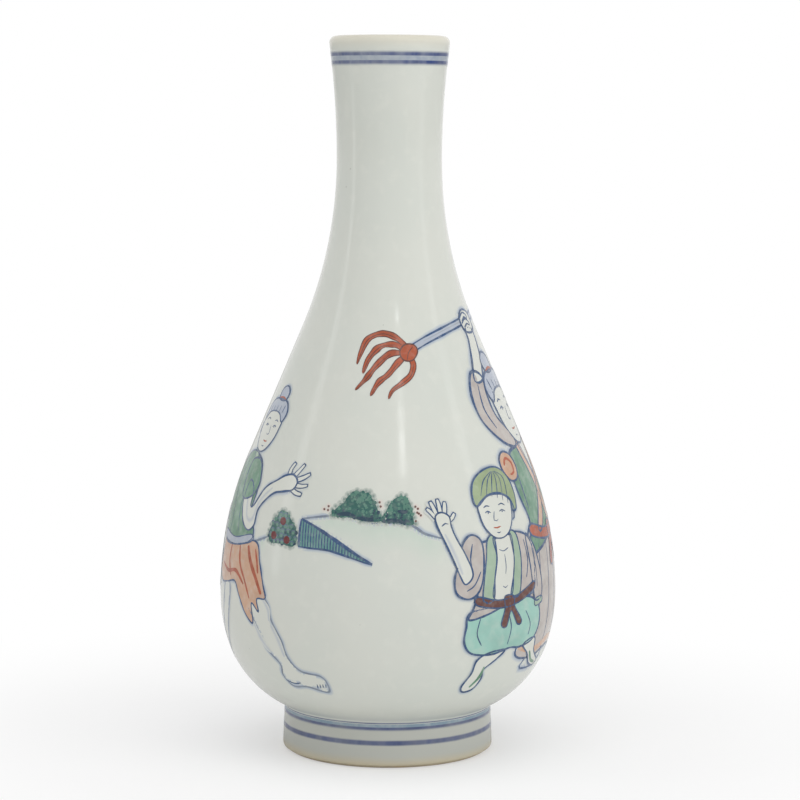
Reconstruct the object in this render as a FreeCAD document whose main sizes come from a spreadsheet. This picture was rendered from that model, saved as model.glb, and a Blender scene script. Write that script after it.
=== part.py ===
"""Pear-shaped porcelain bottle vase, built up in the order the potter builds it.

Three thrown sections of clay are luted with slip on bevelled rims into one hollow body, a foot
ring is turned underneath, cobalt lines are brushed round the lip and the foot, and a clear glaze
coats everything but the standing edge. Each section, joint, line and coat is a sub-part.

Origin at the centre of the standing edge, +Z up along the axis of the wheel, millimetres.
"""

import FreeCAD, Part
import math
import os
import re

import Sketcher

# Driving dimensions, each an alias of the sheet. Outside sizes are those of the glazed vase.
# A slope or flare share is how far an outline moves out for each millimetre that it rises. The lean
# share is the cone's lean over that of a straight line from belly to neck, between 1 and 2. The
# belly's and the heel's arc are shares of the belly's height, the shoulder's arc is one of it and the
# neck's arc together, and the line on the foot stands at a share of the foot's height.

SIZES = {
    "overall_height": 220.0,
    "lip_crest_radius": 16.3,
    "lip_flare_share": 0.13,
    "neck_radius": 16.14,
    "neck_drop": 37.3,
    "neck_wall": 2.9,
    "shoulder_lean_share": 1.526,
    "shoulder_arc_share": 0.456,
    "belly_radius": 51.96,
    "belly_height": 48.9,
    "belly_arc_share": 0.998,
    "belly_wall": 3.4,
    "heel_slope_share": 0.337,
    "heel_arc_share": 0.65,
    "heel_fillet": 1.9,
    "foot_radius": 32.6,
    "foot_waist_depth": 0.5,
    "standing_round": 1.9,
    "standing_width": 2.4,
    "floor_thickness": 6.0,
    "recess_slope": 0.8,
    "recess_fillet": 1.8,
    "glaze_thickness": 0.4,
    "glaze_line_height": 0.9,
    "pigment_depth": 0.2,
    "slip_thickness": 0.6,
    "seam_bevel_share": 0.45,
    "belly_seam_rise": 4.1,
    "shoulder_seam_share": 0.546,
    "lip_line_drop": 5.6,
    "lip_line_gap": 2.4,
    "lip_line_width": 1.05,
    "foot_line_share": 0.6,
    "foot_line_width": 0.9,
    "foot_pair_drop": 0.8,
    "foot_pair_width": 0.85,
    "foot_wash_width": 0.9,
    "foot_hairline_width": 0.35,
    "overrun": 2.0,
}

BELLY_ARC = "(belly_arc_share * belly_height)"
HEEL_ARC = "(heel_arc_share * belly_height)"
NECK_Z = "(overall_height - neck_drop)"
BELLY_SEAM_Z = "(belly_height + belly_seam_rise)"
SHOULDER_SEAM_Z = f"(belly_height + shoulder_seam_share * ({NECK_Z} - belly_height))"


def make_sheet(doc):
    """The spreadsheet of driving dimensions, one alias a row."""
    sheet = doc.addObject("Spreadsheet::Sheet", "sizes")
    for row, (alias, value) in enumerate(SIZES.items(), start=1):
        sheet.set(f"A{row}", alias)
        sheet.set(f"B{row}", str(value))
        sheet.setAlias(f"B{row}", alias)
    doc.recompute()
    return sheet


def bound(text):
    """An expression on bare aliases, written out for an object beside the sheet."""

    def with_sheet(found):
        return f"sizes.{found[0]}" if found[0] in SIZES else found[0]

    return re.sub(r"[a-z_]+", with_sheet, text)


def point_at(sheet, place):
    """The sketch point of a place given as a radius and a height, both expressions."""
    radius, height = (float(sheet.evalExpression(text)) for text in place)
    return FreeCAD.Vector(radius, height, 0)


def pin(sketch, kind, edge, vertex, text, value):
    """Ties the radius or the height of a point, to the axis itself where it is zero."""
    if text == "0":
        axis = -2 if kind == "DistanceX" else -1
        sketch.addConstraint(Sketcher.Constraint("PointOnObject", edge, vertex, axis))
        return
    index = sketch.addConstraint(Sketcher.Constraint(kind, -1, 1, edge, vertex, value))
    sketch.setExpression(f"Constraints[{index}]", bound(text))


def add_line(sketch, start, end):
    """A straight edge. Gives the edge and its vertices in the order of the outline."""
    return sketch.addGeometry(Part.LineSegment(start, end), False), 1, 2


def add_arc(sketch, sheet, start, end, level):
    """An arc between two points whose centre lies at a given height, the level."""
    height = float(sheet.evalExpression(level))
    gap = (end.x**2 - start.x**2) + (end.y - height) ** 2 - (start.y - height) ** 2
    centre = FreeCAD.Vector(gap / (2 * (end.x - start.x)), height, 0)
    angles = [math.atan2(point.y - centre.y, point.x - centre.x) for point in (start, end)]
    turns_left = math.remainder(angles[1] - angles[0], 2 * math.pi) > 0
    circle = Part.Circle(centre, FreeCAD.Vector(0, 0, 1), (start - centre).Length)
    ordered = angles if turns_left else angles[::-1]
    arc = sketch.addGeometry(Part.ArcOfCircle(circle, *ordered), False)
    pin(sketch, "DistanceY", arc, 3, level, height)
    return (arc, 1, 2) if turns_left else (arc, 2, 1)


def turned_form(doc, sheet, name, outline):
    """A solid turned about Z from a closed outline, listed as pairs of a place and a level.

    Each pair is where an edge ends and, for an arc, the level of its centre. A straight edge has
    None for its level. The outline starts where its last edge ends.
    """
    body = doc.addObject("PartDesign::Body", name)
    sketch = body.newObject("Sketcher::SketchObject", f"{name}_outline")
    plane = [item for item in body.Origin.OriginFeatures if item.Role == "XZ_Plane"][0]
    sketch.AttachmentSupport = (plane, [""])
    sketch.MapMode = "FlatFace"
    points = [point_at(sheet, place) for place, _ in outline]
    edges = []
    for number, (_, level) in enumerate(outline):
        start, end = points[number - 1], points[number]
        if level is None:
            edges.append(add_line(sketch, start, end))
        else:
            edges.append(add_arc(sketch, sheet, start, end, level))
    for number, (edge, first, last) in enumerate(edges):
        next_edge, next_first, _ = edges[(number + 1) % len(edges)]
        (radius, height), point = outline[number][0], points[number]
        sketch.addConstraint(Sketcher.Constraint("Coincident", edge, last, next_edge, next_first))
        pin(sketch, "DistanceX", edge, last, radius, point.x)
        pin(sketch, "DistanceY", edge, last, height, point.y)
    turn = body.newObject("PartDesign::Revolution", f"{name}_turn")
    turn.Profile = sketch
    turn.ReferenceAxis = (sketch, ["V_Axis"])
    turn.Angle = 360
    return body


def slope_terms(share):
    """Cosine and sine of the lean of a slope share from the upright."""
    cosine = f"(1 / sqrt(1 + {share}^2))"
    return cosine, f"({share} * {cosine})"


def heel_centre():
    """Centre of the arc that carries the belly round to the foot."""
    cosine, sine = slope_terms("heel_slope_share")
    radius = f"(belly_radius - {BELLY_ARC} + ({BELLY_ARC} - {HEEL_ARC}) * {cosine})"
    return radius, f"(belly_height - ({BELLY_ARC} - {HEEL_ARC}) * {sine})"


def foot_corner():
    """How far out from the heel's centre the corner's fillet is centred, and at what height."""
    heel_r, heel_z = heel_centre()
    reach = f"(foot_radius - foot_waist_depth + heel_fillet - {heel_r})"
    return reach, f"({heel_z} - sqrt(({HEEL_ARC} + heel_fillet)^2 - {reach}^2))"


def floor_height(depth):
    """Height of the floor at a depth under the glazed outside, level with the heel's lowest point."""
    return f"({heel_centre()[1]} - {HEEL_ARC} + {depth})"


def belly_outline(depth):
    """Heel to belly at a depth under the glazed outside."""
    cosine, sine = slope_terms("heel_slope_share")
    heel_end = (
        f"belly_radius - {BELLY_ARC} + ({BELLY_ARC} - ({depth})) * {cosine}",
        f"belly_height - ({BELLY_ARC} - ({depth})) * {sine}",
    )
    belly = (f"belly_radius - ({depth})", "belly_height")
    return [(heel_end, heel_centre()[1]), (belly, "belly_height")]


def shoulder_terms(belly_r, neck_r):
    """Lean of the cone between belly and neck, and the radii of the arcs below and above it."""
    rise = f"({NECK_Z} - belly_height)"
    run = f"({belly_r} - ({neck_r}))"
    lean = f"(shoulder_lean_share * atan({run} / {rise}))"
    both_arcs = f"(({rise} * sin({lean}) - {run} * cos({lean})) / (1 - cos({lean})))"
    return lean, f"({both_arcs} * shoulder_arc_share)", f"({both_arcs} * (1 - shoulder_arc_share))"


def shoulder_outline(belly_r, neck_r, inset):
    """Belly to neck: an arc level with the belly, a cone, and an arc level with the neck."""
    lean, shoulder_arc, neck_arc = shoulder_terms(belly_r, neck_r)
    cone_start = (
        f"{belly_r} - {shoulder_arc} + ({shoulder_arc} - {inset}) * cos({lean})",
        f"belly_height + ({shoulder_arc} - {inset}) * sin({lean})",
    )
    cone_end = (
        f"{neck_r} + {neck_arc} - ({neck_arc} + {inset}) * cos({lean})",
        f"{NECK_Z} - ({neck_arc} + {inset}) * sin({lean})",
    )
    return [(cone_start, "belly_height"), (cone_end, None), ((f"{neck_r} - {inset}", NECK_Z), NECK_Z)]


def lip_outline(neck_r, top_z, side):
    """Neck to the crest of the lip: a flare level with the neck, and a round that ends level.

    The side is 1 for the outer face and -1 for the inner one. The round is as large as it takes to
    touch the flare and to crest at the same radius on both faces.
    """
    cosine, sine = slope_terms("lip_flare_share")
    crest_r = "lip_crest_radius"
    lean = f"({side} * (1 + {side} * {sine}) / {cosine})"
    half = f"((1 - {cosine}) / {sine})"
    level_r = f"({neck_r} - {NECK_Z} * {half} - {crest_r})"
    edge_z = f"(({top_z} - {lean} * {level_r}) / (1 + {lean} * {half}))"
    edge_r = f"({neck_r} + ({edge_z} - {NECK_Z}) * {half})"
    round_z = f"{top_z} - {side} * ({edge_r} - {crest_r}) / {cosine}"
    return [((edge_r, edge_z), NECK_Z), ((crest_r, top_z), round_z)]


def outer_form(doc, sheet, name, inset):
    """The outside of the vase, solid to its axis and drawn in by an inset."""
    top_z = f"(overall_height - {inset})"
    foot_r = f"foot_radius - {inset}"
    edge_r = f"{foot_r} - standing_round"
    heel_r, heel_z = heel_centre()
    reach, fillet_z = foot_corner()
    along = f"(({HEEL_ARC} - {inset}) / ({HEEL_ARC} + heel_fillet))"
    heel_start = (f"{heel_r} + {reach} * {along}", f"{heel_z} - ({heel_z} - {fillet_z}) * {along}")
    outline = [
        ((edge_r, "0"), None),
        ((foot_r, "standing_round"), "standing_round"),
        ((f"{foot_r} - foot_waist_depth", fillet_z), None),
        (heel_start, fillet_z),
        *belly_outline(inset),
        *shoulder_outline("belly_radius", "neck_radius", inset),
        *lip_outline(f"(neck_radius - {inset})", top_z, 1),
        (("0", top_z), None),
        (("0", "0"), None),
    ]
    return turned_form(doc, sheet, name, outline)


def cavity_form(doc, sheet, name, inset):
    """The hollow of the vase, open through the lip and widened by an inset."""
    depth = f"belly_wall - {inset}"
    top_z = f"(overall_height - {inset})"
    over_z = "overall_height + overrun"
    floor_z = floor_height(depth)
    outline = [
        ((heel_centre()[0], floor_z), None),
        *belly_outline(depth),
        *shoulder_outline("(belly_radius - belly_wall)", "(neck_radius - neck_wall)", f"(0 - {inset})"),
        *lip_outline(f"(neck_radius - neck_wall + {inset})", top_z, -1),
        (("lip_crest_radius", over_z), None),
        (("0", over_z), None),
        (("0", floor_z), None),
    ]
    return turned_form(doc, sheet, name, outline)


def recess_form(doc, sheet, name, inset):
    """The recess turned under the foot, widened by an inset and run on below the standing edge."""
    mouth_r = f"foot_radius - standing_round - glaze_thickness * 2 - standing_width + {inset}"
    wall_r = f"{mouth_r} - recess_slope"
    ceiling_z = f"{floor_height('belly_wall')} - floor_thickness + {inset}"
    wall_z = f"{ceiling_z} - recess_fillet"
    below_z = "0 - overrun"
    outline = [
        ((mouth_r, below_z), None),
        ((mouth_r, "0"), None),
        ((wall_r, wall_z), None),
        ((f"{wall_r} - recess_fillet", ceiling_z), wall_z),
        (("0", ceiling_z), None),
        (("0", below_z), None),
    ]
    return turned_form(doc, sheet, name, outline)


def bevelled_zone(doc, sheet, name, low, high):
    """All that lies between two bevels, each given by its height at the axis and at the rim."""
    reach = "belly_radius + overrun"
    corners = [(reach, low[1]), (reach, high[1]), ("0", high[0]), ("0", low[0])]
    return turned_form(doc, sheet, name, [(corner, None) for corner in corners])


def level_zone(doc, name, low, high):
    """All that lies between two heights."""
    disc = doc.addObject("Part::Cylinder", name)
    disc.setExpression("Radius", bound("belly_radius + overrun"))
    disc.setExpression("Height", bound(f"({high}) - ({low})"))
    disc.setExpression("Placement.Base.z", bound(low))
    return disc


def combine(doc, kind, name, base, tool):
    """A cut or a common of two shapes."""
    result = doc.addObject(kind, name)
    result.Base = base
    result.Tool = tool
    return result


def seam_bevels(seam_z, outer_r):
    """The two faces of a slip joint, bevels that drop inwards from the outside at the seam."""
    fall = f"({outer_r}) * seam_bevel_share"
    rise = f"(belly_radius + overrun - ({outer_r})) * seam_bevel_share"
    faces = []
    for side in ("-", "+"):
        edge_z = f"{seam_z} {side} slip_thickness / 2"
        faces.append((f"{edge_z} - {fall}", f"{edge_z} + {rise}"))
    return faces


def make_clay(doc, sheet, forms):
    """The three thrown sections and the slip that lutes them, at the belly and on the cone."""
    hollow = combine(doc, "Part::Cut", "clay_hollowed", forms["clay_outside"], forms["clay_cavity"])
    clay = combine(doc, "Part::Cut", "clay_turned", hollow, forms["clay_recess"])
    cone_start, cone_end, _ = shoulder_outline("belly_radius", "neck_radius", "0")
    (start_r, start_z), (end_r, end_z) = cone_start[0], cone_end[0]
    along = f"(({SHOULDER_SEAM_Z} - ({start_z})) / ({end_z} - ({start_z})))"
    cone_r = f"{start_r} + ({end_r} - ({start_r})) * {along}"
    limits = [
        ("0 - overrun", "0 - overrun"),
        *seam_bevels(BELLY_SEAM_Z, "belly_radius"),
        *seam_bevels(SHOULDER_SEAM_Z, cone_r),
        ("overall_height + overrun", "overall_height + overrun"),
    ]
    names = ("lower_body", "belly_slip_joint", "upper_body", "shoulder_slip_joint", "neck")
    nodes = {}
    for name, low, high in zip(names, limits, limits[1:]):
        zone = bevelled_zone(doc, sheet, f"{name}_zone", low, high)
        nodes[name] = combine(doc, "Part::Common", name, clay, zone)
    return nodes


def painted_heights():
    """The low and high end of each cobalt line and wash, by painted band."""
    lip_upper = "overall_height - lip_line_drop - lip_line_width / 2"
    lip_lower = f"{lip_upper} - lip_line_gap"
    corner_z = foot_corner()[1]
    pair_low = f"{corner_z} - foot_pair_drop - foot_pair_width / 2"
    wash_low = f"{pair_low} + foot_pair_width"
    hairline_low = f"{wash_low} + foot_wash_width"
    foot_low = f"{corner_z} * foot_line_share - foot_line_width / 2"
    lip_band = {
        "lip_line_lower": (lip_lower, f"{lip_lower} + lip_line_width"),
        "lip_wash": (f"{lip_lower} + lip_line_width", lip_upper),
        "lip_line_upper": (lip_upper, f"{lip_upper} + lip_line_width"),
    }
    heel_band = {
        "foot_line_upper": (pair_low, wash_low),
        "foot_wash": (wash_low, hairline_low),
        "foot_hairline": (hairline_low, f"{hairline_low} + foot_hairline_width"),
    }
    foot_band = {"foot_line_lower": (foot_low, f"{foot_low} + foot_line_width")}
    return (lip_band, heel_band, foot_band)


def make_lines(doc, forms):
    """The cobalt lines and the washes between them, let into the face of the glaze."""
    skin = combine(doc, "Part::Cut", "painted_skin", forms["glazed_outside"], forms["pigment_bed"])
    nodes = {}
    for band in painted_heights():
        for name, (low, high) in band.items():
            zone = level_zone(doc, f"{name}_zone", low, high)
            nodes[name] = combine(doc, "Part::Common", name, skin, zone)
    return nodes


def make_glaze(doc, forms):
    """The glaze outside, inside and under the foot, wiped clear of the standing edge."""
    mouth = doc.addObject("Part::Cylinder", "mouth_zone")
    mouth.setExpression("Radius", bound("lip_crest_radius"))
    mouth.setExpression("Height", bound("glaze_thickness + overrun"))
    mouth.setExpression("Placement.Base.z", bound("overall_height - glaze_thickness"))
    standing = level_zone(doc, "standing_zone", "0 - overrun", "glaze_line_height")
    coat = combine(doc, "Part::Cut", "outside_coat", forms["glazed_outside"], forms["clay_outside"])
    coat = combine(doc, "Part::Cut", "outside_coat_open", coat, mouth)
    coat = combine(doc, "Part::Cut", "outside_coat_wiped", coat, standing)
    painted_skin = doc.getObject("painted_skin")
    bands = []
    for number, band in enumerate(painted_heights(), start=1):
        ends = list(band.values())
        zone = level_zone(doc, f"painted_zone_{number}", ends[0][0], ends[-1][1])
        bands.append(combine(doc, "Part::Common", f"painted_band_{number}", painted_skin, zone))
    painted = doc.addObject("Part::MultiFuse", "painted_bands")
    painted.Shapes = bands
    base_coat = combine(doc, "Part::Cut", "base_coat", forms["clay_recess"], forms["glazed_recess"])
    return {
        "outside_glaze": combine(doc, "Part::Cut", "outside_glaze", coat, painted),
        "inside_glaze": combine(
            doc, "Part::Cut", "inside_glaze", forms["clay_cavity"], forms["glazed_cavity"]
        ),
        "base_glaze": combine(doc, "Part::Cut", "base_glaze", base_coat, standing),
    }


def check_and_write(doc, nodes):
    """Stops at a failed object or a bad shape, and otherwise writes one file a sub-part."""
    for item in doc.Objects:
        if "Invalid" in item.State or "Error" in item.State:
            raise RuntimeError(f"{item.Name} failed: {item.State}")
    for name, node in nodes.items():
        node.Label = name
        shape = node.Shape
        if shape.isNull() or not shape.isValid() or len(shape.Solids) != 1:
            raise RuntimeError(f"{name} isn't one valid solid")
        print(name, "volume in mm3:", round(shape.Volume, 2))
    os.makedirs("parts", exist_ok=True)
    for name, node in nodes.items():
        node.Shape.exportStep(os.path.join("parts", f"{name}.step"))


def main():
    doc = FreeCAD.newDocument("vase")
    sheet = make_sheet(doc)
    forms = {
        "glazed_outside": outer_form(doc, sheet, "glazed_outside", "0"),
        "pigment_bed": outer_form(doc, sheet, "pigment_bed", "pigment_depth"),
        "clay_outside": outer_form(doc, sheet, "clay_outside", "glaze_thickness"),
        "glazed_cavity": cavity_form(doc, sheet, "glazed_cavity", "0"),
        "clay_cavity": cavity_form(doc, sheet, "clay_cavity", "glaze_thickness"),
        "glazed_recess": recess_form(doc, sheet, "glazed_recess", "0"),
        "clay_recess": recess_form(doc, sheet, "clay_recess", "glaze_thickness"),
    }
    doc.recompute()
    nodes = make_clay(doc, sheet, forms)
    nodes.update(make_lines(doc, forms))
    nodes.update(make_glaze(doc, forms))
    doc.recompute()
    check_and_write(doc, nodes)


main()
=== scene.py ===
"""A pear-shaped porcelain bottle vase: clay, glaze, cobalt lines and a painted frieze."""

import math
from random import Random

import bpy
from mathutils import Matrix, Vector, geometry, noise


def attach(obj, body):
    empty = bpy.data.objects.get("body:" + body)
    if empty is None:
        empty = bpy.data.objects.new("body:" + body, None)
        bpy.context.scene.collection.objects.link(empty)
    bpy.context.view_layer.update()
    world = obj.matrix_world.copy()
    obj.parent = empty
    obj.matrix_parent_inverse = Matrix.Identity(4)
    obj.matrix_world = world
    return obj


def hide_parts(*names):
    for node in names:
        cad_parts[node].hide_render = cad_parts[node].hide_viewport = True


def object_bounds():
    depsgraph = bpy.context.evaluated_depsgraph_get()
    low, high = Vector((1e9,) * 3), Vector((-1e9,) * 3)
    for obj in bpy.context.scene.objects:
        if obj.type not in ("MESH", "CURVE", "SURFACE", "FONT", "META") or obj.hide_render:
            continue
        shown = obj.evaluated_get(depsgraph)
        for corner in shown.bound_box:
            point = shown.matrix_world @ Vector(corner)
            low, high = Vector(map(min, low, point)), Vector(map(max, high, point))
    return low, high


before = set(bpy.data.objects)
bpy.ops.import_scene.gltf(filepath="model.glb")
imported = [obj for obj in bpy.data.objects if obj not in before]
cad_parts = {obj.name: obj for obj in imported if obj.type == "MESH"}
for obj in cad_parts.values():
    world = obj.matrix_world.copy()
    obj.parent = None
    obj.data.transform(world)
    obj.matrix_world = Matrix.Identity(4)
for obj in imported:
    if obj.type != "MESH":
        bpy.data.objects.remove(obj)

bl_info = {
    "name": "Porcelain bottle vase",
    "version": (1, 0, 0),
    "blender": (4, 5, 0),
    "location": "3D View > Sidebar > Vase",
    "description": "Glazes, paints and stages a thrown porcelain bottle vase",
    "category": "Object",
}

MM = 0.001
MODEL_LOW, MODEL_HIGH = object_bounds()

# Share of a banded line's strength that the brush's second pass gives it
SECOND_PASS = 0.12

# Where the second pass starts and ends, in radians round from the front: here the whole way round
ALL_ROUND = (0.0, 7.0)

# How deep the glaze's underside lies in the clay, and how far its wiped edge laps, in glaze thicknesses
BED_SHARE = 0.6
LAP_SHARE = 1.15

# How strongly the glaze mirrors
GLAZE_SPECULAR = 0.38


def pairs(*numbers):
    """Points from numbers that are x and y in turn."""
    return list(zip(numbers[::2], numbers[1::2]))


def linear(code):
    """Scene colour of a painted tone written as red, green and blue from 0 to 255."""
    shares = [part / 255 for part in code]
    return [part / 12.92 if part <= 0.04045 else ((part + 0.055) / 1.055) ** 2.4 for part in shares]


def length(name, millimetres, description):
    """A length that the panel shows, given in millimetres."""
    return bpy.props.FloatProperty(
        name=name, description=description, default=millimetres * MM, min=0, unit="LENGTH", precision=5
    )


def share(name, value, description):
    """A plain number that the panel shows."""
    return bpy.props.FloatProperty(name=name, description=description, default=value, precision=4)


def tone(name, code, description):
    """A colour that the panel shows."""
    return bpy.props.FloatVectorProperty(
        name=name, description=description, default=linear(code), min=0, max=1, subtype="COLOR"
    )


class VaseSizes(bpy.types.PropertyGroup):
    """Sizes of the turned outline and of what is brushed on it."""

    overall_height: length("Height", MODEL_HIGH.z / MM, "Standing edge to lip")
    lip_crest_radius: length("Lip crest radius", 16.3, "Radius of the lip's highest ring")
    lip_flare_share: share("Lip flare", 0.13, "How far the lip flares for each millimetre up")
    neck_radius: length("Neck radius", 16.14, "Outside radius of the neck where it is slimmest")
    neck_drop: length("Neck drop", 37.3, "Depth of the neck's slimmest place under the lip")
    neck_wall: length("Neck wall", 2.9, "Thickness at the neck")
    shoulder_lean_share: share("Shoulder lean", 1.526, "Lean of the cone against a straight shoulder")
    shoulder_arc_share: share("Shoulder arc", 0.456, "Share of the lower arc in both shoulder arcs")
    belly_radius: length("Belly radius", 51.96, "Largest outside radius")
    belly_height: length("Belly height", 48.9, "Height of the largest radius")
    belly_arc_share: share("Belly arc", 0.998, "Radius of the belly's arc over the belly's height")
    belly_wall: length("Belly wall", 3.4, "Thickness at the belly")
    heel_slope_share: share("Heel slope", 0.337, "Slope where the belly turns to the heel")
    heel_arc_share: share("Heel arc", 0.65, "Radius of the heel's arc over the belly's height")
    heel_fillet: length("Heel fillet", 1.9, "Hollow round between body and foot")
    foot_radius: length("Foot radius", 32.6, "Outside radius of the foot ring")
    foot_waist_depth: length("Foot waist", 0.5, "How far the foot draws in under the body")
    standing_round: length("Standing round", 1.9, "Round on the foot's outer edge")
    standing_width: length("Standing edge", 2.4, "Width of the bare standing edge")
    floor_thickness: length("Floor", 6.0, "Floor of the hollow to ceiling of the recess")
    recess_slope: length("Recess slope", 0.8, "How far the recess narrows inwards")
    recess_fillet: length("Recess round", 1.8, "Round between the recess wall and its ceiling")
    glaze_thickness: length("Glaze", 0.4, "Thickness of the glaze")
    glaze_line_height: length("Glaze line", 0.9, "Height at which the glaze is wiped off")
    seam_bevel_share: share("Seam bevel", 0.45, "Fall of a luted seam towards the axis")
    belly_seam_rise: length("Belly seam", 4.1, "Height of the lower seam over the belly")
    shoulder_seam_share: share("Shoulder seam", 0.546, "Place of the upper seam from belly to neck")
    slip_thickness: length("Slip", 0.6, "Thickness of the slip between two sections")
    lip_line_drop: length("Lip line drop", 5.6, "Depth of the upper blue line under the lip")
    lip_line_gap: length("Lip line gap", 2.4, "Spacing of the two lines at the lip")
    lip_line_width: length("Lip line width", 1.05, "Width of the lines at the lip")
    foot_line_share: share("Foot line", 0.6, "Place of the line on the foot")
    foot_line_width: length("Foot line width", 0.9, "Width of the line on the foot")
    foot_pair_drop: length("Foot pair drop", 0.8, "Depth of the upper line under the heel's corner")
    foot_pair_width: length("Foot pair width", 0.85, "Width of the upper line at the foot")
    foot_wash_width: length("Foot wash", 0.9, "Width of the wash over that line")
    foot_hairline_width: length("Foot hairline", 0.35, "Width of the pale line over the wash")
    line_rise: length("Paint rise", 0.035, "How far the paint stands proud")
    line_softness: length("Line softness", 0.6, "How far the cobalt of a banded line spreads")
    seam_swell: length("Seam swell", 0.03, "Height of the faint ridge over a seam")
    seam_spread: length("Seam spread", 2.2, "How far the ridge over a seam reaches up and down")


class VaseColours(bpy.types.PropertyGroup):
    """Tones of clay, glaze, cobalt and enamels."""

    porcelain: tone("Porcelain", (207, 209, 201), "White body under clear glaze")
    porcelain_warm: tone("Warm porcelain", (214, 206, 186), "Thin glaze over the lip and the foot")
    foot_stain: tone("Foot stain", (196, 185, 158), "Thin, stained glaze at the foot")
    biscuit: tone("Biscuit", (196, 182, 156), "Bare fired clay")
    slip: tone("Slip", (198, 188, 166), "Fired slip in the seams")
    cobalt: tone("Cobalt", (56, 82, 120), "Blue lines")
    cobalt_line: tone("Cobalt bands", (4, 46, 112), "Banded blue lines")
    cobalt_wash: tone("Cobalt wash", (122, 144, 160), "Thin blue-grey wash at the foot")
    lip_wash: tone("Lip wash", (140, 151, 168), "Thinner wash between the lines at the lip")
    leaf_green: tone("Leaf green", (100, 140, 116), "Green robe")
    foliage: tone("Foliage", (52, 96, 90), "Shrubs")
    foliage_deep: tone("Deep foliage", (42, 66, 82), "Dark dabs in the shrubs")
    foliage_light: tone("Light foliage", (84, 126, 112), "Light dabs in the shrubs")
    haze: tone("Cobalt haze", (124, 146, 180), "Cobalt that spread in the glaze")
    fence_green: tone("Fence green", (96, 142, 138), "Fence between its rails")
    turquoise: tone("Turquoise", (150, 192, 180), "Trousers")
    mauve: tone("Mauve", (182, 174, 169), "Robe")
    lapel_green: tone("Pale green", (152, 174, 152), "Collars and trim")
    cap_green: tone("Cap green", (148, 164, 128), "Cap")
    salmon: tone("Salmon", (198, 160, 134), "Cloth")
    iron_red: tone("Iron red", (168, 84, 56), "Red strokes")
    sash_brown: tone("Sash brown", (100, 64, 58), "Sashes and red outlines")
    berry_red: tone("Berry red", (98, 32, 34), "Berries")
    meadow: tone("Meadow", (188, 202, 190), "Pale wash under the hills")
    blush: tone("Blush", (214, 192, 184), "Pale pink round the berries")
    slate: tone("Slate", (168, 176, 190), "Grey-blue wash")


# Node trees


def wire(tree, kind, inputs=None, **settings):
    """Adds a node with its settings, and links or sets each input by name or number."""
    node = tree.nodes.new(kind)
    for name, value in settings.items():
        setattr(node, name, value)
    for key, value in (inputs or {}).items():
        if isinstance(value, bpy.types.NodeSocket):
            tree.links.new(value, node.inputs[key])
        else:
            node.inputs[key].default_value = value
    return node


def number(tree, operation, *values):
    """The result of a calculation on one, two or three numbers."""
    return wire(tree, "ShaderNodeMath", dict(enumerate(values)), operation=operation).outputs[0]


def arrow(tree, operation, *values):
    """The result of a calculation on vectors."""
    return wire(tree, "ShaderNodeVectorMath", dict(enumerate(values)), operation=operation).outputs[0]


def product(tree, first, second):
    """Two numbers multiplied."""
    return number(tree, "MULTIPLY", first, second)


def axes(tree, vector):
    """The x, y and z of a vector."""
    return wire(tree, "ShaderNodeSeparateXYZ", {0: vector}).outputs


def joined(tree, x=0.0, y=0.0, z=0.0):
    """A vector from its x, y and z."""
    return wire(tree, "ShaderNodeCombineXYZ", {0: x, 1: y, 2: z}).outputs[0]


def scaled(tree, vector, factor):
    """A vector made longer by a factor."""
    return wire(tree, "ShaderNodeVectorMath", {0: vector, "Scale": factor}, operation="SCALE").outputs[0]


def from_axis(tree, place):
    """How far a place lies from the vase's axis."""
    flat = arrow(tree, "MULTIPLY", place, (1.0, 1.0, 0.0))
    return wire(tree, "ShaderNodeVectorMath", {0: flat}, operation="LENGTH").outputs["Value"]


def attribute(tree, name):
    """A number that the geometry carries."""
    return wire(tree, "GeometryNodeInputNamedAttribute", {"Name": name}, data_type="FLOAT").outputs[0]


def blend_tones(tree, amount, first, second):
    """A tone between two others."""
    inputs = {0: amount, 6: first, 7: second}
    return wire(tree, "ShaderNodeMix", inputs, data_type="RGBA").outputs[2]


def between(tree, value, low, high, first=0.0, last=1.0):
    """A value's place from low to high, run smoothly from the first to the last number."""
    inputs = {0: value, 1: low, 2: high, 3: first, 4: last}
    return wire(tree, "ShaderNodeMapRange", inputs, interpolation_type="SMOOTHSTEP").outputs[0]


def grain(tree, where, scale, detail=2.0):
    """Noise at a scale given as spots a metre."""
    inputs = {"Vector": where, "Scale": scale, "Detail": detail}
    return wire(tree, "ShaderNodeTexNoise", inputs).outputs[0]


def start_finish(name):
    """A new material's tree, with the place on the object and its height."""
    material = bpy.data.materials.new(name)
    material.use_nodes = True
    tree = material.node_tree
    tree.nodes.clear()
    where = wire(tree, "ShaderNodeTexCoord").outputs["Object"]
    return material, tree, where, axes(tree, where)["Z"]


def end_finish(tree, tint, roughness, bumps, specular=0.5):
    """The surface shader of a finish. The bumps are pairs of a height and a depth in metres."""
    normal = None
    for relief, depth in bumps:
        inputs = {"Height": relief, "Distance": depth, "Strength": 1.0}
        if normal is not None:
            inputs["Normal"] = normal
        normal = wire(tree, "ShaderNodeBump", inputs).outputs[0]
    inputs = {"Base Color": tint, "Roughness": roughness, "Normal": normal}
    shader = wire(tree, "ShaderNodeBsdfPrincipled", inputs)
    shader.inputs["Specular IOR Level"].default_value = specular
    wire(tree, "ShaderNodeOutputMaterial", {"Surface": shader.outputs[0]})


def opaque(colour):
    """A colour with nothing showing through."""
    return (*colour, 1.0)


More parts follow.
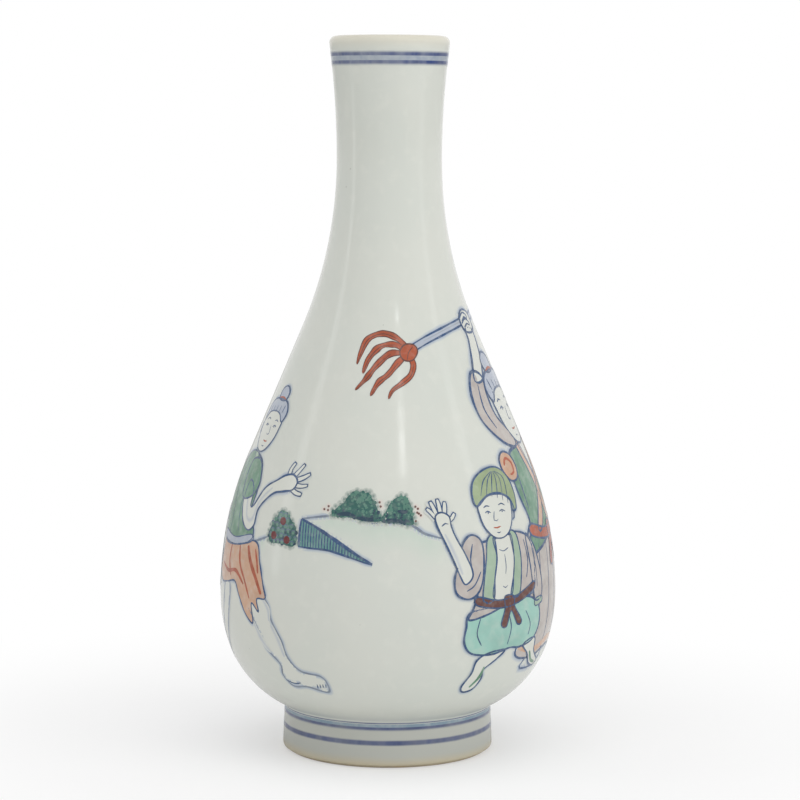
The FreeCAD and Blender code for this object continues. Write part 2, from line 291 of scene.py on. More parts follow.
def porcelain_tone(tree, where, height, colours):
    """White body under the glaze, warmer where the glaze runs thin at the lip and the foot, and greyed as
    painted shade on the foot below the heel's corner.
    """
    broad = grain(tree, where, 28.0)
    fine = grain(tree, where, 260.0, 3.0)
    cool = [channel * factor for channel, factor in zip(colours.porcelain, (0.968, 0.982, 0.985))]
    tint = blend_tones(tree, between(tree, broad, 0.38, 0.66), opaque(colours.porcelain), opaque(cool))
    pale = [min(channel * 1.03, 1.0) for channel in colours.porcelain]
    tint = blend_tones(tree, between(tree, fine, 0.5, 0.75, 0.0, 0.6), tint, opaque(pale))
    sizes = bpy.context.scene.vase_sizes
    level = number(tree, "MULTIPLY_ADD", broad, 0.0016, height)
    top = sizes.overall_height
    lip = between(tree, level, top - 0.004, top + 0.0008)
    foot = between(tree, level, sizes.glaze_line_height + 0.0042, sizes.glaze_line_height + 0.0006)
    tint = blend_tones(tree, product(tree, lip, 0.6), tint, opaque(colours.porcelain_warm))
    # Painted shade: the foot below the heel's corner is blended to a darker grey of the porcelain
    grey = [channel * 0.74 for channel in colours.porcelain]
    corner = foot_corner(sizes)[1]
    painted_foot_shade = between(tree, height, corner + 0.0004, corner - 0.0012)
    tint = blend_tones(tree, painted_foot_shade, tint, opaque(grey))
    return blend_tones(tree, product(tree, foot, 0.9), tint, opaque(colours.foot_stain))


def glaze_relief(tree, where):
    """The glaze's slow waves along the throwing rings and its fine orange peel."""
    stretched = arrow(tree, "MULTIPLY", where, (0.35, 0.35, 1.0))
    return [(grain(tree, stretched, 130.0, 1.0), 0.00007), (grain(tree, where, 1100.0, 1.0), 0.000004)]


def glaze_finish():
    """Clear, glossy glaze over white porcelain."""
    colours = bpy.context.scene.vase_colours
    material, tree, where, height = start_finish("clear_glaze")
    tint = porcelain_tone(tree, where, height, colours)
    specks = wire(tree, "ShaderNodeTexVoronoi", {"Vector": where, "Scale": 95.0}).outputs["Distance"]
    dark = [channel * 0.55 for channel in colours.porcelain]
    tint = blend_tones(tree, between(tree, specks, 0.035, 0.015, 0.0, 0.5), tint, opaque(dark))
    roughness = between(tree, grain(tree, where, 90.0), 0.3, 0.7, 0.1, 0.17)
    end_finish(tree, tint, roughness, glaze_relief(tree, where), GLAZE_SPECULAR)
    return material


def clay_finish(name, colour):
    """Fired clay with its fine grain, bare to the touch."""
    material, tree, where, _ = start_finish(name)
    shade = [channel * 0.74 for channel in colour]
    tint = blend_tones(tree, grain(tree, where, 340.0, 4.0), opaque(colour), opaque(shade))
    stain = [channel * factor for channel, factor in zip(colour, (0.86, 0.74, 0.6))]
    stained = between(tree, grain(tree, where, 60.0), 0.5, 0.72, 0.0, 0.7)
    tint = blend_tones(tree, stained, tint, opaque(stain))
    reliefs = [(grain(tree, where, 2600.0, 3.0), 0.00003), (grain(tree, where, 420.0), 0.00005)]
    end_finish(tree, tint, between(tree, grain(tree, where, 700.0), 0.3, 0.7, 0.7, 0.88), reliefs)
    return material


def paint_finish(name, colour, mottle=0.35, spread=0.75, shade=0.62, strokes=900.0, thinned=0.0):
    """Paint under or on the glaze, stronger and thinner as the brush left it."""
    colours = bpy.context.scene.vase_colours
    material, tree, where, height = start_finish(name)
    ground = porcelain_tone(tree, where, height, colours)
    load = wire(tree, "ShaderNodeAttribute", attribute_name="strength").outputs["Fac"]
    patches = grain(tree, where, strokes * 0.35, 3.0)
    dabs = grain(tree, where, strokes, 2.0)
    deep = [channel * shade for channel in colour]
    mottled = between(tree, patches, 0.42, 0.68, 0.0, mottle * 2)
    paint = blend_tones(tree, mottled, opaque(colour), opaque(deep))
    paint = blend_tones(tree, between(tree, load, 0.95, 0.45, 0.0, thinned), paint, ground)
    cover = product(tree, load, between(tree, dabs, 0.25, 0.6, spread, 1.0))
    tint = blend_tones(tree, cover, ground, paint)
    roughness = between(tree, patches, 0.3, 0.7, 0.12, 0.24)
    reliefs = [*glaze_relief(tree, where), (product(tree, dabs, load), 0.000012)]
    end_finish(tree, tint, roughness, reliefs, GLAZE_SPECULAR)
    return material


# The turned outline


def follow(start, steps, stride):
    """Points along a chain of edges, each listed as its end and the level of its arc's centre."""
    points = [start]
    for end, level in steps:
        begin = points[-1]
        if level is None:
            count = max(1, math.ceil(math.dist(begin, end) / stride))
            run, rise = end[0] - begin[0], end[1] - begin[1]
            points += [(begin[0] + run * n / count, begin[1] + rise * n / count) for n in range(1, count + 1)]
            continue
        gap = end[0] ** 2 - begin[0] ** 2 + (end[1] - level) ** 2 - (begin[1] - level) ** 2
        centre = gap / (2 * (end[0] - begin[0]))
        radius = math.hypot(begin[0] - centre, begin[1] - level)
        first = math.atan2(begin[1] - level, begin[0] - centre)
        sweep = math.remainder(math.atan2(end[1] - level, end[0] - centre) - first, math.tau)
        widest_turn = 0.16
        count = max(1, math.ceil(abs(sweep) * radius / stride), math.ceil(abs(sweep) / widest_turn))
        for n in range(1, count + 1):
            angle = first + sweep * n / count
            points.append((centre + radius * math.cos(angle), level + radius * math.sin(angle)))
    return points


def heel_terms(sizes):
    """Lean of the heel's upper end, the belly's and the heel's arc, and the heel's centre."""
    lean = math.atan(sizes.heel_slope_share)
    belly_arc = sizes.belly_arc_share * sizes.belly_height
    heel_arc = sizes.heel_arc_share * sizes.belly_height
    centre_r = sizes.belly_radius - belly_arc + (belly_arc - heel_arc) * math.cos(lean)
    centre_z = sizes.belly_height - (belly_arc - heel_arc) * math.sin(lean)
    return lean, belly_arc, heel_arc, centre_r, centre_z


def foot_corner(sizes):
    """Place of the centre of the fillet between body and foot."""
    _, _, heel_arc, heel_r, heel_z = heel_terms(sizes)
    corner_r = sizes.foot_radius - sizes.foot_waist_depth + sizes.heel_fillet
    fall = math.sqrt((heel_arc + sizes.heel_fillet) ** 2 - (corner_r - heel_r) ** 2)
    return corner_r, heel_z - fall


def belly_steps(sizes, depth):
    """Heel to belly at a depth under the outside."""
    lean, belly_arc, _, _, heel_z = heel_terms(sizes)
    reach = belly_arc - depth
    heel_end = (
        sizes.belly_radius - belly_arc + reach * math.cos(lean),
        sizes.belly_height - reach * math.sin(lean),
    )
    belly = (sizes.belly_radius - depth, sizes.belly_height)
    return [(heel_end, heel_z), (belly, sizes.belly_height)]


def shoulder_steps(sizes, belly_r, neck_r, inset):
    """Belly to neck by an arc, a cone and an arc."""
    neck_z = sizes.overall_height - sizes.neck_drop
    rise, run = neck_z - sizes.belly_height, belly_r - neck_r
    lean = sizes.shoulder_lean_share * math.atan(run / rise)
    both = (rise * math.sin(lean) - run * math.cos(lean)) / (1 - math.cos(lean))
    low_arc = both * sizes.shoulder_arc_share
    high_arc = both - low_arc
    low = (
        belly_r - low_arc + (low_arc - inset) * math.cos(lean),
        sizes.belly_height + (low_arc - inset) * math.sin(lean),
    )
    high = (
        neck_r + high_arc - (high_arc + inset) * math.cos(lean),
        neck_z - (high_arc + inset) * math.sin(lean),
    )
    return [(low, sizes.belly_height), (high, None), ((neck_r - inset, neck_z), neck_z)]


def lip_steps(sizes, neck_r, top_z, side):
    """Neck to the crest of the lip, outside for side 1 and inside for -1."""
    angle = math.atan(sizes.lip_flare_share)
    crest_r = sizes.lip_crest_radius
    neck_z = sizes.overall_height - sizes.neck_drop
    lean = side * (1 + side * math.sin(angle)) / math.cos(angle)
    half = (1 - math.cos(angle)) / math.sin(angle)
    edge_z = (top_z - lean * (neck_r - neck_z * half - crest_r)) / (1 + lean * half)
    edge_r = neck_r + (edge_z - neck_z) * half
    round_z = top_z - side * (edge_r - crest_r) / math.cos(angle)
    return [((edge_r, edge_z), neck_z), ((crest_r, top_z), round_z)]


def outer_path(sizes, inset=0.0, stride=0.0016):
    """The outside from the standing edge to the crest of the lip."""
    foot_r = sizes.foot_radius - inset
    corner_r, corner_z = foot_corner(sizes)
    _, _, heel_arc, heel_r, heel_z = heel_terms(sizes)
    along = (heel_arc - inset) / (heel_arc + sizes.heel_fillet)
    heel_start = (heel_r + (corner_r - heel_r) * along, heel_z - (heel_z - corner_z) * along)
    steps = [
        ((foot_r, sizes.standing_round), sizes.standing_round),
        ((foot_r - sizes.foot_waist_depth, corner_z), None),
        (heel_start, corner_z),
        *belly_steps(sizes, inset),
        *shoulder_steps(sizes, sizes.belly_radius, sizes.neck_radius, inset),
        *lip_steps(sizes, sizes.neck_radius - inset, sizes.overall_height - inset, 1),
    ]
    return follow((foot_r - sizes.standing_round, 0.0), steps, stride)


def cavity_path(sizes, inset=0.0, stride=0.003):
    """The hollow from the middle of its floor to the crest of the lip."""
    depth = sizes.belly_wall - inset
    _, _, heel_arc, heel_r, heel_z = heel_terms(sizes)
    floor_z = heel_z - heel_arc + depth
    steps = [
        ((heel_r, floor_z), None),
        *belly_steps(sizes, depth),
        *shoulder_steps(
            sizes, sizes.belly_radius - sizes.belly_wall, sizes.neck_radius - sizes.neck_wall, -inset
        ),
        *lip_steps(sizes, sizes.neck_radius - sizes.neck_wall + inset, sizes.overall_height - inset, -1),
    ]
    return follow((0.0, floor_z), steps, stride)


def recess_path(sizes, inset=0.0):
    """The recess under the foot, from the standing edge to the middle of its ceiling."""
    _, _, heel_arc, _, heel_z = heel_terms(sizes)
    ceiling_z = heel_z - heel_arc + sizes.belly_wall - sizes.floor_thickness + inset
    edge_r = sizes.foot_radius - sizes.standing_round
    mouth_r = edge_r - 2 * sizes.glaze_thickness - sizes.standing_width + inset
    wall_r = mouth_r - sizes.recess_slope
    wall_z = ceiling_z - sizes.recess_fillet
    steps = [
        ((wall_r, wall_z), None),
        ((wall_r - sizes.recess_fillet, ceiling_z), wall_z),
        ((0.0, ceiling_z), None),
    ]
    return follow((mouth_r, 0.0), steps, stride=0.003)


def radius_at(path, height):
    """Radius of a path at a height."""
    for low, high in zip(path, path[1:]):
        if low[1] <= height <= high[1] and high[1] > low[1]:
            return low[0] + (high[0] - low[0]) * (height - low[1]) / (high[1] - low[1])
    raise RuntimeError("that height isn't on the path")


def above(path, height):
    """The part of a path from a height upwards."""
    return [(radius_at(path, height), height)] + [point for point in path if point[1] > height + 1e-6]


def seam_heights(sizes):
    """Heights of the two luted seams."""
    neck_z = sizes.overall_height - sizes.neck_drop
    span = neck_z - sizes.belly_height
    return sizes.belly_height + sizes.belly_seam_rise, sizes.belly_height + sizes.shoulder_seam_share * span


# Making pieces


def outline_object(name, points, across=None):
    """A chain of points, radius and height, for the turning tree to read."""
    mesh = bpy.data.meshes.new(name)
    mesh.from_pydata([(radius, 0.0, height) for radius, height in points], [], [])
    layer = mesh.attributes.new("across", "FLOAT", "POINT")
    layer.data.foreach_set("value", across or [0.0] * len(points))
    made = bpy.data.objects.new(name, mesh)
    bpy.context.scene.collection.objects.link(made)
    return made


def new_tree(name, inputs):
    """An empty geometry tree with named inputs and one output."""
    tree = bpy.data.node_groups.new(name, "GeometryNodeTree")
    for label, kind in inputs.items():
        tree.interface.new_socket(label, in_out="INPUT", socket_type=f"NodeSocket{kind}")
    tree.interface.new_socket("Geometry", in_out="OUTPUT", socket_type="NodeSocketGeometry")
    return tree, wire(tree, "NodeGroupInput").outputs


def close_tree(tree, shape, finish):
    """Smooth shading, real geometry and the finish, as the last steps of a tree."""
    smooth = wire(tree, "GeometryNodeSetShadeSmooth", {0: shape}).outputs[0]
    real = wire(tree, "GeometryNodeRealizeInstances", {0: smooth}).outputs[0]
    painted = wire(tree, "GeometryNodeSetMaterial", {0: real, "Material": finish}).outputs[0]
    wire(tree, "NodeGroupOutput", {0: painted})


def turning_tree():
    """Turns an outline about the axis, its edges wavering as a brush on a wheel does."""
    inputs = {"Outline": "Geometry", "Segments": "Int", "Waver": "Float", "Seed": "Float",
              "Thin": "Float", "Second Pass Start": "Float", "Second Pass End": "Float", "Finish": "Material"}
    tree, given = new_tree("turn_outline", inputs)
    size = wire(tree, "GeometryNodeAttributeDomainSize", {0: given["Outline"]}, component="MESH")
    count = size.outputs["Point Count"]
    columns = number(tree, "ADD", given["Segments"], 1.0)
    sheet = {"Size X": 1.0, "Size Y": 1.0, "Vertices X": columns, "Vertices Y": count}
    grid = wire(tree, "GeometryNodeMeshGrid", sheet)
    spot = axes(tree, grid.outputs["UV Map"])
    row = number(tree, "ROUND", product(tree, spot["Y"], number(tree, "SUBTRACT", count, 1.0)))
    angle = product(tree, spot["X"], math.tau)

    def sampled(value, kind):
        """A value of the outline's point for each row."""
        inputs = {"Geometry": given["Outline"], "Value": value, "Index": row}
        return wire(tree, "GeometryNodeSampleIndex", inputs, data_type=kind).outputs[0]

    profile = axes(tree, sampled(wire(tree, "GeometryNodeInputPosition").outputs[0], "FLOAT_VECTOR"))
    across = sampled(attribute(tree, "across"), "FLOAT")
    side = number(tree, "ABSOLUTE", across)

    # How the brush wandered, and how its load came and went, round the wheel
    sine, cosine = number(tree, "SINE", angle), number(tree, "COSINE", angle)
    ring = joined(tree, sine, cosine, given["Seed"])
    drift = number(tree, "SUBTRACT", grain(tree, ring, 2.2, 2.0), 0.5)
    swell = number(tree, "SUBTRACT", grain(tree, ring, 7.0, 2.0), 0.5)
    swing = product(tree, number(tree, "MULTIPLY_ADD", swell, across, drift), side)
    height = number(tree, "MULTIPLY_ADD", swing, given["Waver"], profile["Z"])
    back = product(tree, product(tree, profile["X"], cosine), -1.0)
    position = joined(tree, product(tree, profile["X"], sine), back, height)
    shape = wire(tree, "GeometryNodeSetPosition", {"Geometry": grid.outputs[0], "Position": position})
    load = between(tree, side, 1.0, given["Thin"])
    load = product(tree, load, between(tree, grain(tree, ring, 3.1, 3.0), 0.3, 0.7, 0.88, 1.0))
    load = product(tree, load, between(tree, grain(tree, ring, 14.0, 2.0), 0.35, 0.65, 0.92, 1.0))
    start, end = given["Second Pass Start"], given["Second Pass End"]
    run_in, run_out = 0.06, 0.2
    begun = between(tree, angle, number(tree, "SUBTRACT", start, run_in), start)
    left = between(tree, angle, end, number(tree, "ADD", end, run_out), 1.0, 0.0)
    twice = product(tree, begun, left)
    load = product(tree, load, number(tree, "MULTIPLY_ADD", twice, SECOND_PASS, 1.0 - SECOND_PASS))

    stored = {"Geometry": shape.outputs[0], "Name": "strength", "Value": load}
    kept = wire(tree, "GeometryNodeStoreNamedAttribute", stored, data_type="FLOAT").outputs[0]
    closed = wire(tree, "GeometryNodeMergeByDistance", {"Geometry": kept, "Distance": 0.001 * MM}).outputs[0]
    close_tree(tree, closed, given["Finish"])
    return tree


def laying_tree():
    """Lays flat painting on the vase: x runs round it, y up it and z is the paint's rise."""
    inputs = {"Painting": "Geometry", "Vase": "Object", "Reach": "Float", "Finish": "Material"}
    tree, given = new_tree("lay_on_vase", inputs)
    flat = axes(tree, wire(tree, "GeometryNodeInputPosition").outputs[0])
    around = attribute(tree, "around")
    sine, cosine = number(tree, "SINE", around), number(tree, "COSINE", around)
    inward = joined(tree, product(tree, sine, -1.0), cosine)
    origin = arrow(tree, "SUBTRACT", joined(tree, z=flat["Y"]), scaled(tree, inward, given["Reach"]))
    body = wire(tree, "GeometryNodeObjectInfo", {"Object": given["Vase"]}).outputs["Geometry"]
    ray = {"Target Geometry": body, "Source Position": origin, "Ray Direction": inward, "Ray Length": 1.0}
    found = wire(tree, "GeometryNodeRaycast", ray).outputs
    raised = arrow(tree, "ADD", found["Hit Position"], scaled(tree, found["Hit Normal"], flat["Z"]))
    turn = number(tree, "DIVIDE", flat["X"], from_axis(tree, found["Hit Position"]))
    spun = wire(tree, "ShaderNodeVectorRotate", {"Vector": raised, "Angle": turn}, rotation_type="Z_AXIS")
    moved = {"Geometry": given["Painting"], "Position": spun.outputs[0]}
    shape = wire(tree, "GeometryNodeSetPosition", moved).outputs[0]
    close_tree(tree, shape, given["Finish"])
    return tree


def tree_named(name, maker):
    """The tree of that name, made the first time it is asked for."""
    return bpy.data.node_groups.get(name) or maker()


def grown(source, tree, values):
    """The object with its tree's result as a plain mesh."""
    modifier = source.modifiers.new(tree.name, "NODES")
    modifier.node_group = tree
    sockets = {item.name: item.identifier for item in tree.interface.items_tree if item.in_out == "INPUT"}
    for label, value in values.items():
        modifier[sockets[label]] = value
    source.update_tag()
    bpy.context.view_layer.update()
    graph = bpy.context.evaluated_depsgraph_get()
    mesh = bpy.data.meshes.new_from_object(
        source.evaluated_get(graph), preserve_all_data_layers=True, depsgraph=graph
    )
    source.modifiers.remove(modifier)
    source.data = mesh
    mesh.name = source.name
    if not mesh.polygons:
        raise RuntimeError(f"{source.name} came out empty")
    return source


def turned_piece(name, points, finish, replaced, across=None, waver=0.0, seed=0.0, thin=0.4,
                 second_pass=ALL_ROUND):
    """A piece turned from an outline, riding on the vase in place of its CAD nodes."""
    source = outline_object(name, points, across)
    tree = tree_named("turn_outline", turning_tree)
    start, end = second_pass
    values = {"Segments": 192, "Waver": waver, "Seed": seed, "Thin": thin, "Second Pass Start": start,
              "Second Pass End": end, "Finish": finish}
    piece = grown(source, tree, values)
    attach(piece, "root")
    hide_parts(*replaced)


# Clay and glaze


def lower_section(sizes):
    """Outline of the lower thrown section up to its bevelled rim."""
    coat = sizes.glaze_thickness
    seam_z = seam_heights(sizes)[0] - sizes.slip_thickness / 2

    def over_bevel(point):
        return point[1] > seam_z + (point[0] - sizes.belly_radius) * sizes.seam_bevel_share

    outside = [point for point in outer_path(sizes, coat, stride=0.003) if not over_bevel(point)]
    inside = [point for point in cavity_path(sizes, coat) if not over_bevel(point)]
    recess = recess_path(sizes, coat)
    return [*reversed(recess), *outside, *reversed(inside)]


def glaze_coat(sizes):
    """Outline of the glaze outside and inside, in one over the lip."""
    seams = seam_heights(sizes)
    line = sizes.glaze_line_height
    outside = []
    for radius, height in above(outer_path(sizes), line):
        swell = sum(math.exp(-(((height - seam) / sizes.seam_spread) ** 2)) for seam in seams)
        outside.append((radius + sizes.seam_swell * swell, height))
    inside = cavity_path(sizes)
    depth = sizes.glaze_thickness * BED_SHARE
    clay_inside = cavity_path(sizes, depth, stride=0.006)
    clay_outside = above(outer_path(sizes, depth, stride=0.006), line * 4)
    edge_r, edge_z = outside[0]
    edge_round = 0.00008
    edge = [(edge_r - sizes.glaze_thickness * LAP_SHARE, edge_z), (edge_r - edge_round, edge_z)]
    return [
        *edge,
        *outside[1:],
        *reversed(inside[:-1]),
        *clay_inside[:-1],
        *reversed(clay_outside),
        edge[0],
    ]


def base_coat(sizes):
    """Outline of the glaze in the recess, wiped off at the standing edge."""
    line = sizes.glaze_line_height
    face = recess_path(sizes)
    first = (radius_at(face, line), line)
    face = [first] + [point for point in face if point[1] > line + 1e-6]
    depth = sizes.glaze_thickness * BED_SHARE
    ceiling = face[-1][1] + depth
    wall_top = face[-1][1] - sizes.recess_fillet * 0.4
    wall = [(radius + depth, height) for radius, height in face if height < wall_top]
    start = (first[0] + sizes.glaze_thickness * LAP_SHARE, line)
    return [*reversed(face), start, *wall, (wall[-1][0], ceiling), (0.0, ceiling)]


class VASE_OT_body(bpy.types.Operator):
    """Bare clay: the lower section with its foot ring, and the finishes of what the glaze hides"""

    bl_idname = "vase.body"
    bl_label = "Thrown clay body"

    def execute(self, context):
        sizes, colours = context.scene.vase_sizes, context.scene.vase_colours
        biscuit = clay_finish("biscuit", colours.biscuit)
        turned_piece("foot_and_lower_body", lower_section(sizes), biscuit, ["lower_body"])
        slip = clay_finish("slip", colours.slip)
        hidden = ((biscuit, ("upper_body", "neck")), (slip, ("belly_slip_joint", "shoulder_slip_joint")))
        for finish, names in hidden:
            for name in names:
                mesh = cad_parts[name].data
                mesh.materials.clear()
                mesh.materials.append(finish)
        return {"FINISHED"}


class VASE_OT_glaze(bpy.types.Operator):
    """Clear glaze outside, inside and in the recess"""

    bl_idname = "vase.glaze"
    bl_label = "Clear glaze"

    def execute(self, context):
        sizes = context.scene.vase_sizes
        finish = glaze_finish()
        coat, covered = glaze_coat(sizes), ["outside_glaze", "inside_glaze"]
        turned_piece("glaze_coat", coat, finish, covered)
        turned_piece("recess_glaze", base_coat(sizes), finish, ["base_glaze"])
        return {"FINISHED"}


def band_outline(sizes, low, high, rise, firm):
    """Outline of a painted band on the outside, sunk at its edges, with its places across. It doesn't
    thin out towards its firm side, which is 1 above, -1 below and 0 where it has none."""
    edge_depth, bed_depth = 0.00003, 0.00018
    raised, sunken, bedded = (outer_path(sizes, depth) for depth in (-rise, edge_depth, bed_depth))
    count = 11
    points, across = [], []
    for n in range(count):
        share_up = n / (count - 1)
        height = low + (high - low) * share_up
        path = sunken if n in (0, count - 1) else raised
        points.append((radius_at(path, height), height))
        side = 2 * share_up - 1
        if firm:
            side = -firm * (1 - firm * side) / 2
        across.append(side)
    for height in (high, low):
        points.append((radius_at(bedded, height), height))
        across.append(0.0)
    points.append(points[0])
    across.append(across[0])
    return points, across


class VASE_OT_lines(bpy.types.Operator):
    """Cobalt lines and washes banded on the wheel at the lip and the foot"""

    bl_idname = "vase.lines"
    bl_label = "Banded cobalt lines"

    def execute(self, context):
        sizes, colours = context.scene.vase_sizes, context.scene.vase_colours
        full = {"mottle": 0.25, "spread": 0.94, "shade": 0.66, "strokes": 500.0, "thinned": 0.15}
        watery = {"mottle": 0.2, "spread": 0.75, "shade": 0.88, "strokes": 420.0}
        line = paint_finish("cobalt_line", colours.cobalt_line, **full)
        wash = paint_finish("cobalt_wash", colours.cobalt_wash, **watery)
        pale = paint_finish("lip_wash", colours.lip_wash, **watery)
        lip = sizes.overall_height - sizes.lip_line_drop
        half = sizes.lip_line_width / 2
        corner = foot_corner(sizes)[1]
        pair = corner - sizes.foot_pair_drop
        pair_half = sizes.foot_pair_width / 2
        wash_top = pair + pair_half + sizes.foot_wash_width
        foot = corner * sizes.foot_line_share
        foot_half = sizes.foot_line_width / 2
        soft = sizes.line_softness
        lap = soft * 0.4
        twice = (math.radians(17.0), math.radians(104.0))
        foot_top = foot + foot_half + soft
        hairline_top = wash_top + sizes.foot_hairline_width + soft * 0.5
        low_lip = lip - sizes.lip_line_gap
        # Name, lower and upper edge, finish, where the second pass starts and ends, firm side and waver
        bands = [
            ("lip_wash", low_lip, lip, pale, twice, 0, 0.0001),
            ("lip_line_lower", low_lip - half - soft * 1.5, low_lip + half, line, twice, 1, 0.0002),
            ("lip_line_upper", lip - half - lap, lip + half + soft, line, twice, -1, 0.0002),
            ("foot_wash", pair, wash_top, wash, ALL_ROUND, 0, 0.0),
            ("foot_line_upper", pair - pair_half - soft, pair + pair_half, line, (2.6, 3.4), 1, 0.00004),
            ("foot_hairline", wash_top, hairline_top, line, (2.4, 2.9), -1, 0.0),
            ("foot_line_lower", foot - foot_half - soft, foot_top, line, (3.6, 4.2), 0, 0.0002),
        ]
        for order, (name, low, high, finish, second_pass, firm, waver) in enumerate(bands):
            if finish is line:
                slot, rise, thin = "cobalt_line", sizes.line_rise, 0.45
            else:
                slot, rise, thin = "cobalt_wash", sizes.line_rise * 0.6, 0.75
            points, across = band_outline(sizes, low, high, rise, firm)
            seed = order * 5.3
            made = f"painted_{name}"
            turned_piece(made, points, finish, [name], across, waver, seed, thin, second_pass)
        return {"FINISHED"}


# The painting


def eased(before, start, end, after, t):
    """A number part of the way from start to end, on a soft curve that also heeds those on either side."""
    bend = 2 * before - 5 * start + 4 * end - after
    twist = 3 * start - before - 3 * end + after
    return 0.5 * (2 * start + (end - before) * t + bend * t**2 + twist * t**3)


def smoothed(points, closed, stride=0.8):
    """A soft line through given points."""
    count = len(points)
    spans = count if closed else count - 1
    line = []
    for n in range(spans):
        if closed:
            a, b, c, d = (points[(n + k) % count] for k in (-1, 0, 1, 2))
        else:
            a, b, c, d = (points[min(max(n + k, 0), count - 1)] for k in (-1, 0, 1, 2))
        pieces = max(1, round(math.dist(b, c) / stride))
        for k in range(pieces):
            t = k / pieces
            line.append(tuple(eased(*numbers, t) for numbers in zip(a, b, c, d)))
    if not closed:
        line.append(tuple(points[-1]))
    return line


def inside(point, ring):
    """Whether a point lies within a ring."""
    x, y = point
    crossings = 0
    for (x1, y1), (x2, y2) in zip(ring, ring[1:] + ring[:1]):
        if (y1 > y) != (y2 > y) and x < x1 + (x2 - x1) * (y - y1) / (y2 - y1):
            crossings += 1
    return crossings % 2 == 1


class Painter:
    """Draws flat in millimetres, x round the vase and y up it, on a sheet for each enamel."""

    # How far paint stands over the glaze, what each level and each mark adds, and how far its edge drops
    base_rise = 0.03
    level_rise = 0.008
    mark_rise = 0.00004
    marks_in_turn = 90
    edge_drop = 0.004

    # How much wider than its line cobalt's haze is, as a share and in millimetres, and the line's own gain
    haze_share = 1.5
    haze_spread = 1.7
    line_gain = 1.3

    # How much wider than a limb its haze and its drawn edges are
    limb_haze = 2.2
    limb_edge = 0.75

    # How far a stroke's width wobbles, and how often along a millimetre
    wobble_share = 0.34
    wobble_detail = 0.35

    def __init__(self):
        self.sheets = {}
        self.marks_made = 0
        self.place(0.0, 0.0)

    def place(self, turn, height, size=1.0, flip=1.0, over=0):
        """Where the next marks go: degrees round from the front, millimetres up, and how far over others."""
        self.turn = math.radians(turn)
        self.height = height
        self.size = size
        self.flip = flip
        self.over = over

    def rise(self, level, edge=False):
        """How far paint of a level stands over the glaze. Each mark lies a hair over the last."""
        rise = self.base_rise + self.level_rise * (level + self.over)
        rise += self.mark_rise * (self.marks_made % self.marks_in_turn)
        return rise - (self.edge_drop if edge else 0.0)

    def keep(self, enamel, marks, faces, loads):
        """Adds marks, each x, y and rise, to an enamel's sheet."""
        self.marks_made += 1
        sheet = self.sheets.setdefault(enamel, ([], [], [], []))
        base = len(sheet[0])
        for x, y, rise in marks:
            sheet[0].append((x * self.size * self.flip * MM, (self.height + y * self.size) * MM, rise * MM))
            sheet[2].append(self.turn)
        sheet[3].extend(loads)
        for face in faces:
            ordered = face if self.flip > 0 else face[::-1]
            sheet[1].append([base + corner for corner in ordered])

    def wash(self, enamel, outline, level=1, fade=0.0, load=1.0, soft=True):
        """A filled shape. Where it fades, the paint thins out towards its edge."""
        ring = smoothed(outline, True) if soft else list(outline)
        stride = 1.4 / self.size
        clearance, at_edge = 0.55, 0.05
        xs, ys = [x for x, _ in ring], [y for _, y in ring]
        spots = []
        for row in range(int((max(ys) - min(ys)) / stride) + 1):
            for column in range(int((max(xs) - min(xs)) / stride) + 2):
                spot = (min(xs) + (column + row % 2 / 2) * stride, min(ys) + (row + 0.5) * stride)
                clear = all(math.dist(spot, edge) > clearance for edge in ring)
                if clear and inside(spot, ring):
                    spots.append(spot)
        vectors = [Vector(point) for point in ring + spots]
        found = geometry.delaunay_2d_cdt(vectors, [], [list(range(len(ring)))], 1, 1e-5)
        marks, loads = [], []
        for point in found[0]:
            gap = min(math.dist(point, edge) for edge in ring)
            marks.append((point.x, point.y, self.rise(level, gap < at_edge)))
            loads.append(load * (min(1.0, gap / fade) ** 1.3 if fade else 1.0))
        faces = []
        for face in found[2]:
            a, b, c = (found[0][corner] for corner in face)
            turn = (b - a).cross(c - a)
            faces.append(list(face) if turn > 0 else list(reversed(face)))
        self.keep(enamel, marks, faces, loads)

    def stroke(self, enamel, path, width=0.42, level=3, closed=False, load=1.0, ends=(0.45, 0.45),
               edge_load=1.0):
        """A brush line, swelling in the middle and thinner at its ends."""
        line = smoothed(path, closed, 0.7)
        if closed:
            line.append(line[0])
        count = len(line)
        marks, loads, faces = [], [], []
        for n, (x, y) in enumerate(line):
            back, ahead = line[max(n - 1, 0)], line[min(n + 1, count - 1)]
            if closed and n in (0, count - 1):
                back, ahead = line[-2], line[1]
            run, rise = ahead[0] - back[0], ahead[1] - back[1]
            norm = math.hypot(run, rise) or 1.0
            across = (-rise / norm, run / norm)
            slim = ends[0] if n < count / 2 else ends[1]
            swell = max(0.0, math.sin(math.pi * n / (count - 1))) ** 0.6
            taper = 1.0 if closed else slim + (1 - slim) * swell
            where = Vector((x * self.wobble_detail, y * self.wobble_detail, self.turn * 7))
            wobble = 1.0 + self.wobble_share * noise.noise(where)
            half = width / 2 * taper * wobble
            for side, share_of_load in ((-1, edge_load), (0, 1.0), (1, edge_load)):
                spot = (x + across[0] * half * side, y + across[1] * half * side)
                marks.append((*spot, self.rise(level, side != 0)))
                loads.append(load * share_of_load * (0.8 + 0.2 * wobble))
            if n:
                now, before = 3 * n, 3 * n - 3
                for k in (0, 1):
                    faces.append([before + k, now + k, now + k + 1, before + k + 1])
        self.keep(enamel, marks, faces, loads)

    def line(self, enamel, path, width=0.42, level=3, closed=False, load=1.0):
        """A brush line. Under cobalt, a soft haze spreads in the glaze round it."""
        if enamel == "cobalt":
            over, self.over = self.over, 0
            haze = width * self.haze_share + self.haze_spread
            self.stroke("haze", path, haze, 0, closed, 0.9, (0.8, 0.8), 0.0)
            self.over = over
            width = width * self.line_gain
        self.stroke(enamel, path, width, level, closed, load)

